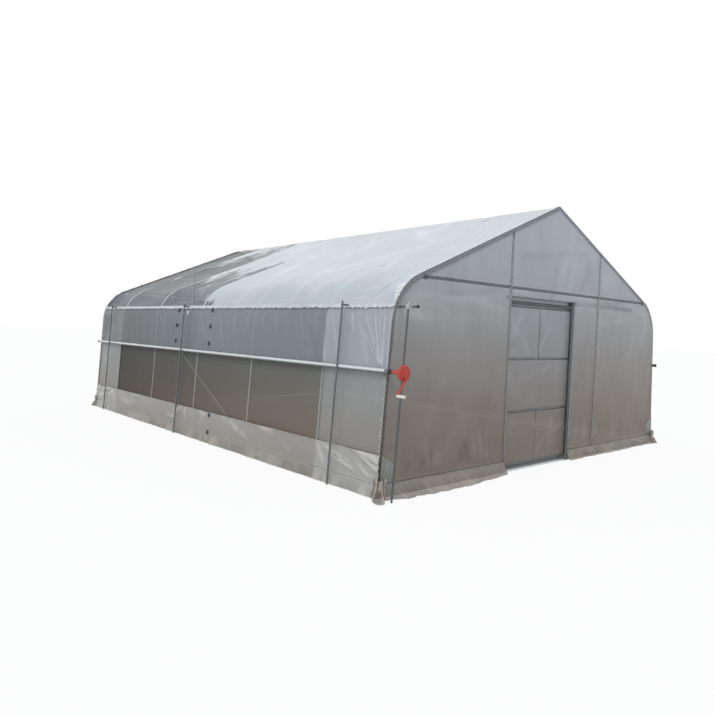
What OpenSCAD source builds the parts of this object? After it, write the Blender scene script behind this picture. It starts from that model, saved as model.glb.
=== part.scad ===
// Film-covered tunnel greenhouse: bent pipe bows, lock channels, roll-up sides and a sliding door.
// X runs across the gable, Y along the house, Z up. The door is in the gable that faces -Y.

/* [House] */
// Width over the feet of the bows
house_w = 6000; // [5000:50:7600]
// How far in from the feet the lines of leg and rafter would cross
shoulder_in = 140; // [60:5:300]
// Height where the lines of leg and rafter would cross
shoulder_h = 2070; // [1750:10:2600]
// Height of the outside of the ridge
ridge_h = 3280; // [2750:10:4000]
// Distance between the first and the last bow
house_l = 7900; // [6500:50:10000]
// Width of the two short bays at the ends
end_bay = 1000; // [700:10:1300]

/* [Pipes] */
// Outside diameter of bows and gable posts
bow_d = 32; // [25:1:48]
// Outside radius of the bend at the shoulder
bend_r = 600; // [450:10:800]
// Outside diameter of purlins, tie bars and door rails
rail_d = 25; // [20:1:30]
// Outside diameter of hold-down rods and guide poles
rod_d = 20; // [16:1:25]
// Gap left at a seat of one pipe on another
seat = 0.3; // [0.1:0.1:0.5]
// Height of the tie bars of the gables
tie_h = 2206; // [2160:1:2300]
// Distance from the ends of the tie bars to the outside of the bow
tie_end = 62; // [30:1:90]

/* [Lock channels] */
// Width of a lock channel
lock_w = 32; // [26:1:40]
// Depth of a lock channel
lock_h = 12; // [9:1:16]
// Wall of a lock channel
lock_t = 1.5; // [1:0.1:2.5]
// Mouth of a lock channel
lock_mouth = 18; // [12:1:22]
// Joint between two lengths of lock channel
lock_joint = 0.5; // [0.2:0.1:1]
// How far below the crossing of leg and rafter the eave channels lie
eave_drop = 175; // [120:5:240]
// Height of the base channels
base_h = 130; // [100:5:200]

/* [Film] */
// Thickness that stands in for the thin film
film_t = 3; // [2:0.5:5]
// Thickness that stands in for the insect net
net_t = 2; // [1.5:0.5:3]
// Height of the upper edge of the fixed film under the side windows
skirt_h = 425; // [300:5:600]
// Spread of the film on the ground at the gables
apron = 90; // [50:5:200]
// Spread of the film on the ground at the sides, inside the hold-down rods
side_apron = 45; // [30:1:46]

/* [Roll-up sides] */
// Height of the roll tube where the curtain hangs now
tube_h = 1245; // [900:5:1500]
// Diameter of the roll tube with the film wound on it
tube_d = 44; // [36:1:60]
// Overhang of the roll tube past the last bow
tube_end = 60; // [40:5:100]
// Distance of the first hold-down rod from the gable with the winch
rod_first = 690; // [500:10:900]
// Distance of the middle hold-down rod past the middle of the house
rod_middle = 420; // [-600:10:600]
// Distance of the last hold-down rod from the far gable
rod_last = 570; // [500:10:900]
// Reach of the eave purlin ahead of the gable, where the guide pole hangs
eave_reach = 265; // [240:5:450]
// Distance of the guide pole ahead of the gable
pole_ahead = 190; // [160:5:220]
// Distance of the guide pole from the axis of the winch
pole_aside = 58; // [40:1:60]

/* [Winch] */
// Diameter of the gear drum
drum_d = 150; // [120:5:170]
// Distance of the crank shaft below the axis of the drum
crank_drop = 55; // [45:1:58]
// Length of the crank arm
crank_l = 195; // [160:5:240]
// Angle of the crank arm from hanging straight down
crank_angle = 39; // [0:1:90]
// Length of the grip
grip_l = 110; // [90:5:130]

/* [Door] */
// Middle of the left gable post, which the closed door meets
post_left = -974; // [-1100:1:-850]
// Middle of the right gable post
post_right = 1094; // [1000:1:1250]
// Middle of the door jamb
jamb_x = 462; // [400:1:520]
// Height of the lower edge of the door leaf
leaf_foot = 60; // [40:5:90]
// Height of the middle of the top rail of the door leaf
leaf_h = 2005; // [1950:5:2020]
// Heights of the middle rails of the door leaf
leaf_rails = [715, 1356];
// Height of the underside of the door track
track_h = 2055; // [2045:1:2075]
// Height and depth of the section of the door track
track_size = [40, 55];
// Wall of the door track
track_t = 3; // [2:0.5:4]
// Slot under the door track
track_slot = 14; // [12:1:16]
// Right end of the door track
track_end = 2110; // [2050:10:2250]
// Travel of the door leaf
travel = 1440; // [1200:10:1460]

/* [Hidden] */
$fn = 48;

bow_r = bow_d / 2;
rail_r = rail_d / 2;
rod_r = rod_d / 2;
tube_r = tube_d / 2;
half_l = house_l / 2;
shoulder_w = house_w - 2 * shoulder_in;
purlin_x = shoulder_w / 4;
eave_h = shoulder_h - eave_drop;
rod_at = [rod_first, half_l + rod_middle, house_l - rod_last];
big = 20000;
// Bending presses the pipe a hair wider, and the straight lengths run a little way into the bend.
swell = 0.25;
lap = 3;
// Gap from a bow to the channels and films on it, measured from the straight pipe
rest = swell + seat;

// The section of the house: a leg that leans in by lean, a bend through turn and a rafter at slope.
lean = atan((house_w - shoulder_w) / 2 / shoulder_h);
slope = atan((ridge_h - shoulder_h) / (shoulder_w / 2));
turn = 90 - lean - slope;
tangent = bend_r * tan(turn / 2);
leg_l = shoulder_h / cos(lean) - tangent;
rafter_l = shoulder_w / 2 / cos(slope) - tangent;
bend_x = shoulder_w / 2 + tangent * sin(lean) - bend_r * cos(lean);
bend_z = shoulder_h - tangent * cos(lean) - bend_r * sin(lean);
// Angle of the eave channel on the bend, and half the angle that a channel takes up there
eave_a = asin((eave_h - bend_z) / bend_r);
lock_a = (lock_w / 2 + 1) / bend_r * 180 / PI;

// Bows stand at the ends, at the short bays and evenly between. Each is a node of its own.
long_bays = 4;
bow_at = concat([-half_l],
    [for (i = [0:long_bays]) -half_l + end_bay + i * (house_l - 2 * end_bay) / long_bays],
    [half_l]);

// Layers at the side wall, as distances out from the legs
net_out = rest;
film_out = rest;
skirt_out = rest + lock_h + seat;
curtain_out = skirt_out;
tube_out = curtain_out + film_t + seat + tube_r;
rod_out = tube_out + tube_r + 2 * seat + rod_r;
// Places ahead of the gable, as distances from the middle of its bow
film_ahead = bow_r + rest;
lock_ahead = bow_r + rest;

// Outside of the leg and of the rafter at a height or a distance from the middle
function leg_x(z) = house_w / 2 - z * tan(lean);
function rafter_z(x) = ridge_h - abs(x) * tan(slope);
// Outside of the bow at any height
leg_top = leg_l * cos(lean);
bend_top = bend_z + bend_r * cos(slope);
function bow_x(z) = z < leg_top ? leg_x(z)
    : z < bend_top ? bend_x + sqrt(bend_r ^ 2 - (z - bend_z) ^ 2)
    : (ridge_h - z) / tan(slope);

// The axis of the roll tube and the guide pole
tube_x = leg_x(tube_h) + tube_out / cos(lean);
pole_x = tube_x - pole_aside;
purlin_r = bend_r - bow_d - rest - rail_r;
eave_purlin_x = bend_x + purlin_r * cos(eave_a);
eave_purlin_z = bend_z + purlin_r * sin(eave_a);

// The front of the house turned half round gives the back, and a mirror gives the right side.
module both_sides() {
    children();
    mirror([1, 0, 0]) children();
}
module both_ends() {
    children();
    rotate([0, 0, 180]) children();
}

// ---------------------------------------------------------------- bows

// Right half of a bow, from the foot to the ridge
module half_bow() {
    intersection() {
        union() {
            leg_place(-bow_r) translate([0, 0, -leg_l - bow_d])
                cylinder(r = bow_r, h = leg_l + bow_d + lap);
            bend(bend_r - bow_r) circle(r = bow_r + swell);
            rafter_place(-bow_r) translate([0, 0, -lap])
                cylinder(r = bow_r, h = rafter_l + bow_d);
        }
        translate([0, -bow_d, 0]) cube([big, 2 * bow_d, big]);
    }
}
// A section swept round the shoulder bend at radius r, from angle a for angle b
module bend(r, a = lean, b = turn) {
    translate([bend_x, 0, bend_z]) rotate([90, 0, 0]) rotate([0, 0, a])
        rotate_extrude(angle = b, $fn = 96) translate([r, 0]) children();
}
// The top of the leg at a distance out from its outside, with Z running up along the leg
module leg_place(out) {
    translate([bend_x, 0, bend_z]) rotate([0, -lean, 0])
        translate([bend_r + out, 0, 0]) children();
}
// The start of the rafter at a distance out from its outside, with Z running up to the ridge
module rafter_place(out) {
    translate([bend_x, 0, bend_z]) rotate([0, slope - 90, 0])
        translate([bend_r + out, 0, 0]) children();
}
module bow(i) {
    color("#6b7276") translate([0, bow_at[i], 0]) both_sides() half_bow();
}

// ---------------------------------------------------------------- purlins, ties and posts

module along(y0, y1, r) {
    translate([0, y0, 0]) rotate([-90, 0, 0]) cylinder(r = r, h = y1 - y0);
}
module ridge_purlin() {
    z = ridge_h - (bow_d + seat + rail_r) / cos(slope);
    color("#7d8488") translate([0, 0, z]) along(-half_l - bow_r, half_l + bow_r, rail_r);
}
module side_purlins() {
    z = rafter_z(purlin_x) - (bow_d + seat + rail_r) / cos(slope);
    color("#7d8488") both_sides() translate([purlin_x, 0, z])
        along(-half_l - bow_r, half_l + bow_r, rail_r);
}
module eave_purlin() {
    color("#7d8488") translate([-eave_purlin_x, 0, eave_purlin_z])
        along(-half_l - eave_reach, half_l + bow_r, rail_r);
}

// A straight pipe on the inside of the legs, from one bow near the ground to another near the bend
brace_low = 170;
brace_high = leg_top - 12;
module wind_brace() {
    rise = (brace_high - brace_low) / cos(lean);
    run = bow_at[4] - bow_at[2];
    inside = bow_d + seat + rod_r;
    translate([-house_w / 2, bow_at[2], 0]) rotate([0, lean, 0])
        translate([inside, 0, brace_low / cos(lean)]) rotate([-atan(run / rise), 0, 0])
            cylinder(r = rod_r, h = norm([rise, run]));
}
module wind_braces() {
    color("#7d8488") both_ends() wind_brace();
}
// A bar clamped to the inner sides of the posts and of the end bow
module tie_bar() {
    reach = bow_x(tie_h) - tie_end;
    translate([-reach, -half_l + bow_r + seat + rail_r, tie_h])
        rotate([0, 90, 0]) cylinder(r = rail_r, h = 2 * reach);
}
module tie_bars() {
    color("#6b7276") both_ends() tie_bar();
}
// A gable post from the ground to the underside of the end bow
module post(x) {
    difference() {
        translate([x, -half_l, 0]) cylinder(r = bow_r, h = rafter_z(x));
        both_sides() translate([0, -half_l, 0]) rafter_place(-bow_r)
            cylinder(r = bow_r + seat, h = rafter_l + bow_d);
        both_sides() translate([0, -half_l, 0]) rafter_place(-bow_r)
            translate([0, -bow_d, 0]) cube([big, 2 * bow_d, rafter_l + bow_d]);
    }
}
rear_post_x = 1030;
module front_posts() {
    color("#6b7276") {
        post(post_left);
        post(post_right);
    }
}
module rear_posts() {
    color("#6b7276") rotate([0, 0, 180]) both_sides() post(rear_post_x);
}
module door_jamb() {
    color("#6b7276") translate([jamb_x, -half_l, 0]) cylinder(r = bow_r, h = track_h + track_size[1]);
}

// ---------------------------------------------------------------- lock channels

// Section of a lock channel: a flat back on X, sides that lean in, and lips round the mouth
module lock_section() {
    w = lock_w / 2;
    lip = w - 2;
    m = lock_mouth / 2;
    polygon([[-w, 0], [w, 0], [lip, lock_h], [m, lock_h], [m, lock_h - lock_t],
        [lip - lock_t, lock_h - lock_t], [w - 1.2 * lock_t, lock_t], [-w + 1.2 * lock_t, lock_t],
        [-lip + lock_t, lock_h - lock_t], [-m, lock_h - lock_t], [-m, lock_h], [-lip, lock_h]]);
}
module eave_channels() {
    color("#b9bec1") both_sides() translate([bend_x, 0, bend_z]) rotate([0, -eave_a, 0])
        translate([bend_r + rest, half_l + bow_r, 0]) rotate([90, 0, 0])
            linear_extrude(2 * (half_l + bow_r)) rotate([0, 0, -90]) lock_section();
}
// Along the foot of a side wall, on the outside of the legs
module side_base_channel() {
    translate([house_w / 2, half_l + bow_r, 0]) rotate([0, -lean, 0])
        translate([seat, 0, base_h / cos(lean)]) rotate([90, 0, 0])
            linear_extrude(2 * (half_l + bow_r)) rotate([0, 0, -90]) lock_section();
}
// Along the foot of the front gable from x0 to x1
module gable_base_channel(x0, x1) {
    translate([x1, -half_l - lock_ahead, base_h]) rotate([0, -90, 0])
        linear_extrude(x1 - x0) rotate([0, 0, -90]) rotate([0, 0, -90]) mirror([1, 0]) lock_section();
}
gable_foot_x = leg_x(base_h) - bow_r;
module base_channels() {
    color("#b9bec1") {
        both_sides() side_base_channel();
        gable_base_channel(-gable_foot_x, post_left + bow_r);
        gable_base_channel(jamb_x - bow_r, gable_foot_x);
        rotate([0, 0, 180]) gable_base_channel(-gable_foot_x, gable_foot_x);
    }
}
// Up the front of a gable post, from the base channel to a height
module post_channel(x, top) {
    z0 = base_h + lock_w / 2 + 2;
    translate([x, -half_l - lock_ahead, z0]) linear_extrude(top - z0) mirror([0, 1]) lock_section();
}
module post_channels() {
    color("#b9bec1") {
        for (x = [post_left, post_right])
            post_channel(x, rafter_z(abs(x) + lock_w / 2) - 2);
        post_channel(jamb_x, track_h + track_size[1]);
        rotate([0, 0, 180]) for (x = [-rear_post_x, rear_post_x])
            post_channel(x, rafter_z(rear_post_x + lock_w / 2) - 2);
    }
}
// Down the legs of the two bows at each end of a side, between the base channel and the eave channel
module leg_channel(y) {
    z0 = (base_h + lock_w / 2 + 2) / cos(lean);
    translate([house_w / 2, y, 0]) rotate([0, -lean, 0]) translate([rest, 0, z0])
        linear_extrude(leg_l - z0) rotate([0, 0, -90]) lock_section();
}
module leg_channels() {
    color("#b9bec1") both_ends() for (i = [0, 1]) both_sides() leg_channel(bow_at[i]);
}
// Over the end bow from the eave channel to the ridge, with its back on the outside of the pipe:
// a bent length over the shoulder and a straight length up the rafter
module half_bow_channel() {
    a = eave_a + lock_a;
    bend(bend_r + rest, a, lean + turn - a) rotate([0, 0, -90]) lock_section();
    intersection() {
        rafter_place(rest) translate([0, 0, lock_joint]) linear_extrude(rafter_l + bow_d)
            rotate([0, 0, -90]) lock_section();
        translate([lock_joint / 2, -bow_d, 0]) cube([big, 2 * bow_d, big]);
    }
}
module bow_channel() {
    color("#b9bec1") translate([0, -half_l, 0]) both_sides() half_bow_channel();
}

// ---------------------------------------------------------------- film

// Points just outside the right bend, so that the chords between them stay a distance out from it
bend_steps = 20;
function bend_point(r, a) = [bend_x, bend_z] + r * [cos(a), sin(a)];
function bend_points(out, a, b) = [for (i = [0:bend_steps])
    bend_point((bend_r + out) / cos((b - a) / bend_steps / 2), a + (b - a) * i / bend_steps)];
// Point on the leg at a distance out, level with height z on its outside
function leg_point(out, z) = [leg_x(z), z] + out * [cos(lean), sin(lean)];
function flip(points) = [for (i = [len(points) - 1:-1:0]) points[i]];
function mirrored(points) = [for (p = flip(points)) [-p.x, p.y]];
// Turns a section drawn in X and Z into a skin from y0 to y1
module skin(y0, y1) {
    translate([0, y1, 0]) rotate([90, 0, 0]) linear_extrude(y1 - y0) children();
}
// Side film from height z0 up to the eave channel
module wall_skin(y0, y1, out, t, z0) {
    skin(y0, y1) polygon(concat(
        [leg_point(out + t, z0)], bend_points(out + t, lean, eave_a - lock_a),
        flip(bend_points(out, lean, eave_a - lock_a)), [leg_point(out, z0)]));
}
roof_y = half_l - lock_w / 2 - seat;
// One side of the roof's section at a distance out, from the eave to the ridge
function roof_points(out) = concat(bend_points(out, eave_a + lock_a, lean + turn),
    [[0, ridge_h + out / cos(slope)]]);
module roof_film() {
    color("#cdd3d9", 0.6) skin(-roof_y, roof_y) polygon(concat(
        roof_points(rest + film_t), mirrored(bend_points(rest + film_t, eave_a + lock_a, lean + turn)),
        flip(mirrored(bend_points(rest, eave_a + lock_a, lean + turn))), flip(roof_points(rest))));
}
// Outline of a gable, along the outside of its bow
gable_points = concat([[house_w / 2, 0]], bend_points(0, lean, lean + turn), [[0, ridge_h]]);
module gable_outline() {
    polygon(concat(gable_points, mirrored([for (i = [0:len(gable_points) - 2]) gable_points[i]])));
}
// The part of the front gable's film between x0 and x1, from z0 to z1
module gable_film(x0, x1, z0, z1) {
    color("#a2a7ad", 0.6) translate([0, -half_l - film_ahead, 0]) rotate([90, 0, 0])
        linear_extrude(film_t) intersection() {
            gable_outline();
            translate([x0, z0]) square([x1 - x0, z1 - z0]);
        }
}
beside_lock = lock_w / 2 + seat;
over_base = base_h + lock_w / 2 + seat;
door_top = track_h + track_size[1] + 5;
module front_film_left() {
    difference() {
        gable_film(-house_w, post_left - beside_lock, over_base, ridge_h);
        translate([-eave_purlin_x, 0, eave_purlin_z])
            along(-house_l, 0, rail_r + 1);
    }
}
module front_film_over_door() {
    gable_film(post_left + beside_lock, post_right - beside_lock, door_top, ridge_h);
}
module front_film_beside_door() {
    gable_film(jamb_x + beside_lock, post_right - beside_lock, over_base, door_top - seat);
}
module front_film_right() {
    gable_film(post_right + beside_lock, house_w, over_base, ridge_h);
}
module rear_film() {
    rotate([0, 0, 180]) {
        difference() {
            gable_film(-house_w, -rear_post_x - beside_lock, over_base, ridge_h);
            translate([-eave_purlin_x, 0, eave_purlin_z])
                along(-house_l, 0, rail_r + 1);
        }
        gable_film(-rear_post_x + beside_lock, rear_post_x - beside_lock, over_base, ridge_h);
        gable_film(rear_post_x + beside_lock, house_w, over_base, ridge_h);
    }
}
// Fixed film on the short bays of both sides, between the leg channels
module end_films() {
    color("#9aa0a4", 0.6) both_ends() both_sides()
        wall_skin(bow_at[0] + beside_lock, bow_at[1] - beside_lock, film_out, film_t, over_base + 2);
}
module nets() {
    color("#5d605b", 0.7) both_sides()
        wall_skin(bow_at[1] + beside_lock, -bow_at[1] - beside_lock, net_out, net_t, over_base + 2);
}
module curtains() {
    color("#8b9297", 0.6) both_sides()
        wall_skin(-half_l - bow_r, half_l + bow_r, curtain_out, film_t, tube_h - tube_r);
}
// Lower film of a side: a strip up the legs, and the spread part from the base channel to the ground
module side_skirt() {
    top = skirt_h / cos(lean);
    low = (over_base + 2) / cos(lean);
    translate([house_w / 2, -half_l - bow_r, 0]) rotate([0, -lean, 0])
        translate([skirt_out, 0, low]) cube([film_t, 2 * (half_l + bow_r), top - low]);
    translate([house_w / 2, half_l + bow_r, 0]) rotate([90, 0, 0])
        linear_extrude(2 * (half_l + bow_r)) apron_section(side_apron);
}
// Film from the base channel down and out to the ground, where it ends in a flat hem
module apron_section(spread) {
    z = base_h - lock_w / 2 - 1;
    polygon([[seat, 0], [spread, 0], [spread, film_t], [film_t + spread / 3, film_t],
        [film_t + seat, z], [seat, z]]);
}
module side_skirts() {
    color("#a09b95", 0.7) both_sides() side_skirt();
}
module gable_skirt(x0, x1) {
    translate([x0, -half_l - bow_r, 0]) rotate([90, 0, 90]) linear_extrude(x1 - x0)
        mirror([1, 0]) apron_section(apron);
}
module gable_skirts() {
    color("#a09b95", 0.7) {
        gable_skirt(-house_w / 2, post_left + bow_r);
        gable_skirt(jamb_x - bow_r, house_w / 2);
        rotate([0, 0, 180]) gable_skirt(-house_w / 2, house_w / 2);
    }
}

// ---------------------------------------------------------------- roll-up sides

module roll_tube() {
    translate([-tube_x, 0, tube_h]) along(-half_l - tube_end, half_l + tube_end, tube_r);
}
module roll_tubes() {
    color("#d5d8d8") both_ends() roll_tube();
}
// Rods down the outside of the curtain, each hooked to the eave channel
module hold_rod() {
    top = eave_h + 35;
    hook_z = eave_h;
    hook_in = bend_x + (bend_r + rest + lock_h) * cos(eave_a) + (lock_w / 2 - 2) * sin(eave_a) + seat;
    translate([-house_w / 2, 0, 0]) rotate([0, lean, 0]) translate([-rod_out, 0, 0])
        intersection() {
            cylinder(r = rod_r, h = top / cos(lean));
            rotate([0, -lean, 0]) translate([-big / 2, -big / 2, 0]) cube([big, big, big]);
        }
    hook_out = leg_x(hook_z) + (rod_out - rod_r - seat) / cos(lean);
    translate([-hook_out, -3, hook_z - 10]) cube([hook_out - hook_in, 6, 20]);
}
module hold_rods() {
    color("#5b6165") both_ends() for (at = rod_at)
        translate([0, -half_l + at, 0]) hold_rod();
}
// The pole that carries the winch, and the clamp that hangs it on the eave purlin
module pole_place() {
    translate([-pole_x, -half_l - pole_ahead, tube_h]) rotate([0, lean, 0]) children();
}
module guide_pole() {
    over_clamp = 40;
    top = eave_purlin_z + over_clamp;
    intersection() {
        pole_place() translate([0, 0, -tube_h - 50]) cylinder(r = rod_r, h = top + 100);
        translate([-big / 2, -big / 2, 0]) cube([big, big, top]);
    }
    clamp_h = 40;
    clamp_rim = 8;
    pole_at_clamp = pole_x - (eave_purlin_z - tube_h) * tan(lean);
    difference() {
        translate([-pole_at_clamp - rod_r - clamp_rim, -half_l - pole_ahead - rod_r - clamp_rim,
                eave_purlin_z - clamp_h / 2])
            cube([pole_at_clamp - eave_purlin_x + rod_r + rail_r + 2 * clamp_rim,
                2 * (rod_r + clamp_rim), clamp_h]);
        translate([-eave_purlin_x, 0, eave_purlin_z])
            along(-house_l, 0, rail_r + seat);
        pole_place() cylinder(r = rod_r + seat, h = house_w);
    }
}
module guide_poles() {
    color("#5b6165") both_ends() guide_pole();
}

// ---------------------------------------------------------------- winch

neck_r = 17;
drum_r = drum_d / 2;
neck_end = pole_ahead + rod_r + 15;
cone_l = 30;
drum_l = 35;
boss_l = 14;
face = neck_end + cone_l + drum_l;
shaft_r = 8;
// Gear housing on the end of the roll tube, with the guide block that rides on the pole
module winch() {
    difference() {
        translate([-tube_x, -half_l, tube_h]) rotate([90, 0, 0]) {
            translate([0, 0, tube_end + seat]) cylinder(r = neck_r, h = neck_end - tube_end);
            translate([0, 0, neck_end]) cylinder(r1 = neck_r + 4, r2 = drum_r, h = cone_l);
            translate([0, 0, neck_end + cone_l]) cylinder(r = drum_r, h = drum_l - 6);
            translate([0, 0, face - 6]) cylinder(r1 = drum_r, r2 = drum_r - 6, h = 6);
            translate([0, 0, face]) difference() {
                cylinder(r = drum_r - 22, h = 5);
                translate([0, 0, 2]) cylinder(r = drum_r - 34, h = 5);
            }
            translate([0, 0, face]) cylinder(r = 14, h = 8);
            translate([0, -crank_drop, face]) cylinder(r = 15, h = boss_l);
            translate([-12, -25, pole_ahead - 16]) cube([pole_aside + 34, 50, 32]);
        }
        pole_place() translate([0, 0, -100]) cylinder(r = rod_r + 1, h = 200);
        translate([-tube_x, -half_l - face + 12, tube_h - crank_drop]) rotate([90, 0, 0])
            cylinder(r = shaft_r + 0.5, h = 60);
    }
}
hub = face + boss_l + 1;
// Crank: shaft, hub, flat arm and the pin that the grip sits on
module crank() {
    translate([-tube_x, -half_l, tube_h - crank_drop]) rotate([90, 0, 0]) {
        translate([0, 0, face - 11]) cylinder(r = shaft_r, h = hub - face + 12);
        rotate([0, 0, -crank_angle]) {
            translate([0, 0, hub]) cylinder(r = 16, h = 12);
            translate([-9, -crank_l, hub + 1]) cube([18, crank_l, 10]);
            translate([0, -crank_l, hub + 1]) cylinder(r = 11, h = 10);
            translate([0, -crank_l, hub + 10]) cylinder(r = 5, h = grip_l + 6);
            translate([0, -crank_l, hub + 14 + grip_l]) cylinder(r = 8, h = 4);
        }
    }
}
module grip() {
    translate([-tube_x, -half_l, tube_h - crank_drop]) rotate([90, 0, 0]) rotate([0, 0, -crank_angle])
        translate([0, -crank_l, hub + 12]) difference() {
            union() {
                cylinder(r = 13, h = grip_l);
                translate([0, 0, grip_l * 0.3]) cylinder(r = 15, h = grip_l * 0.4);
            }
            translate([0, 0, -1]) cylinder(r = 5.5, h = grip_l + 2);
        }
}
module left_winch() { color("#d0402c") winch(); }
module right_winch() { color("#d0402c") rotate([0, 0, 180]) winch(); }
module left_crank() { color("#d0402c") crank(); }
module right_crank() { color("#d0402c") rotate([0, 0, 180]) crank(); }
module left_grip() { color("#f0efea") grip(); }
module right_grip() { color("#f0efea") rotate([0, 0, 180]) grip(); }

// ---------------------------------------------------------------- sliding door

track_w = track_size[0];
track_tall = track_size[1];
track_gap = 9;
// Places inside the gable, as distances from the middle of its bow
track_mid = bow_r + track_gap + track_w / 2;
track_start = post_left - 86;
leaf_x0 = post_left - 16;
leaf_x1 = jamb_x + 18;
trolley_x = [leaf_x0 + 190, leaf_x1 - 190];
trolley_l = 90;
wheel_r = 15;
stop_l = 20;
stop_gap = 5;
module track_section() {
    difference() {
        translate([-track_w / 2, 0]) square([track_w, track_tall]);
        translate([-track_w / 2 + track_t, track_t]) square([track_w - 2 * track_t, track_tall - 2 * track_t]);
        translate([-track_slot / 2, -1]) square([track_slot, track_t + 2]);
    }
}
module door_track() {
    color("#6b7276") translate([0, -half_l, 0]) {
        translate([track_start, track_mid, track_h]) rotate([90, 0, 90])
            linear_extrude(track_end - track_start) track_section();
        // spacers that carry the track on the posts
        for (x = [post_left, jamb_x, post_right])
            translate([x - 12, bow_r + seat, track_h + 5])
                cube([24, track_gap - seat, track_tall - 10]);
        // strap that hangs the free end from the tie bar
        translate([track_end - 200, bow_r + seat + rail_r - 2.5, track_h + track_tall])
            cube([30, 5, tie_h - rail_r - seat - track_h - track_tall]);
        // stops inside, at both ends of the travel
        for (x = [trolley_x[0] - trolley_l / 2 - stop_gap - stop_l,
                trolley_x[1] + trolley_l / 2 + stop_gap + travel])
            translate([x, track_mid - track_w / 2 + track_t / 2, track_h + track_t + wheel_r])
                cube([stop_l, track_w - track_t, wheel_r]);
    }
}
// A carriage with four wheels in the track, and the bolt that hangs the leaf
module trolley(x) {
    wheel_z = track_h + track_t + seat + wheel_r;
    translate([x, track_mid, 0]) {
        translate([-trolley_l / 2, -3.5, wheel_z - 7]) cube([trolley_l, 7, 14]);
        for (dx = [-28, 28])
            translate([dx, 0, wheel_z]) rotate([90, 0, 0]) {
                translate([0, 0, -15]) cylinder(r = 4, h = 30);
                for (dy = [-14.5, 7.5])
                    translate([0, 0, dy]) cylinder(r = wheel_r, h = 7);
            }
        translate([0, 0, leaf_h + rail_r + seat])
            cylinder(r = 4, h = wheel_z - leaf_h - rail_r - seat);
        translate([0, 0, leaf_h + rail_r + seat]) cylinder(r = 9, h = 8);
    }
}
module door_trolleys() {
    color("#4f5457") translate([0, -half_l, 0]) for (x = trolley_x) trolley(x);
}
leaf_low = leaf_foot + rail_r;
leaf_l = leaf_x0 + rail_r;
leaf_r = leaf_x1 - rail_r;
leaf_mid = (leaf_l + leaf_r) / 2;
module upright(x, z0, z1) {
    translate([x, 0, z0]) cylinder(r = rail_r, h = z1 - z0);
}
module door_frame() {
    color("#6b7276") translate([0, -half_l + track_mid, 0]) {
        for (x = [leaf_l, leaf_r]) {
            upright(x, leaf_low, leaf_h);
            for (z = [leaf_low, leaf_h]) translate([x, 0, z]) sphere(r = rail_r);
        }
        for (z = concat([leaf_low, leaf_h], leaf_rails))
            translate([leaf_l, 0, z]) rotate([0, 90, 0]) cylinder(r = rail_r, h = leaf_r - leaf_l);
        upright(leaf_mid, leaf_low, leaf_rails[0]);
        upright(leaf_mid, leaf_rails[1], leaf_h);
    }
}
module door_film() {
    color("#9aa0a4", 0.6)
        translate([leaf_x0, -half_l + track_mid - rail_r - seat - film_t, leaf_foot])
            cube([leaf_x1 - leaf_x0, film_t, leaf_h - leaf_foot]);
}

module bow_1() { bow(0); }
module bow_2() { bow(1); }
module bow_3() { bow(2); }
module bow_4() { bow(3); }
module bow_5() { bow(4); }
module bow_6() { bow(5); }
module bow_7() { bow(6); }

bow_1();
bow_2();
bow_3();
bow_4();
bow_5();
bow_6();
bow_7();
ridge_purlin();
side_purlins();
eave_purlin();  // left_eave_purlin
rotate([0, 0, 180]) eave_purlin();  // right_eave_purlin
wind_braces();
tie_bars();
front_posts();
rear_posts();
door_jamb();
eave_channels();
base_channels();
post_channels();
leg_channels();
bow_channel();  // front_bow_channel
rotate([0, 0, 180]) bow_channel();  // rear_bow_channel
roof_film();
front_film_left();
front_film_over_door();
front_film_beside_door();
front_film_right();
rear_film();
end_films();
nets();
curtains();
side_skirts();
gable_skirts();
roll_tubes();
hold_rods();
guide_poles();
left_winch();
right_winch();
left_crank();
right_crank();
left_grip();
right_grip();
door_track();
door_frame();
door_film();
door_trolleys();
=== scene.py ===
# %% [markdown]
# # A film-covered tunnel greenhouse
# The house is made of bent galvanised pipe under thin polythene film. The pipes, channels, winches and
# the door arrive as finished solids in the imported model, and they set every size and place here. This
# lesson gives them their finishes, and replaces the plain sheets of film with stretched and wrinkled
# ones. It starts by loading the model, and it ends by printing the box of all that is shown.

# %% Load the frame
import math

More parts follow.
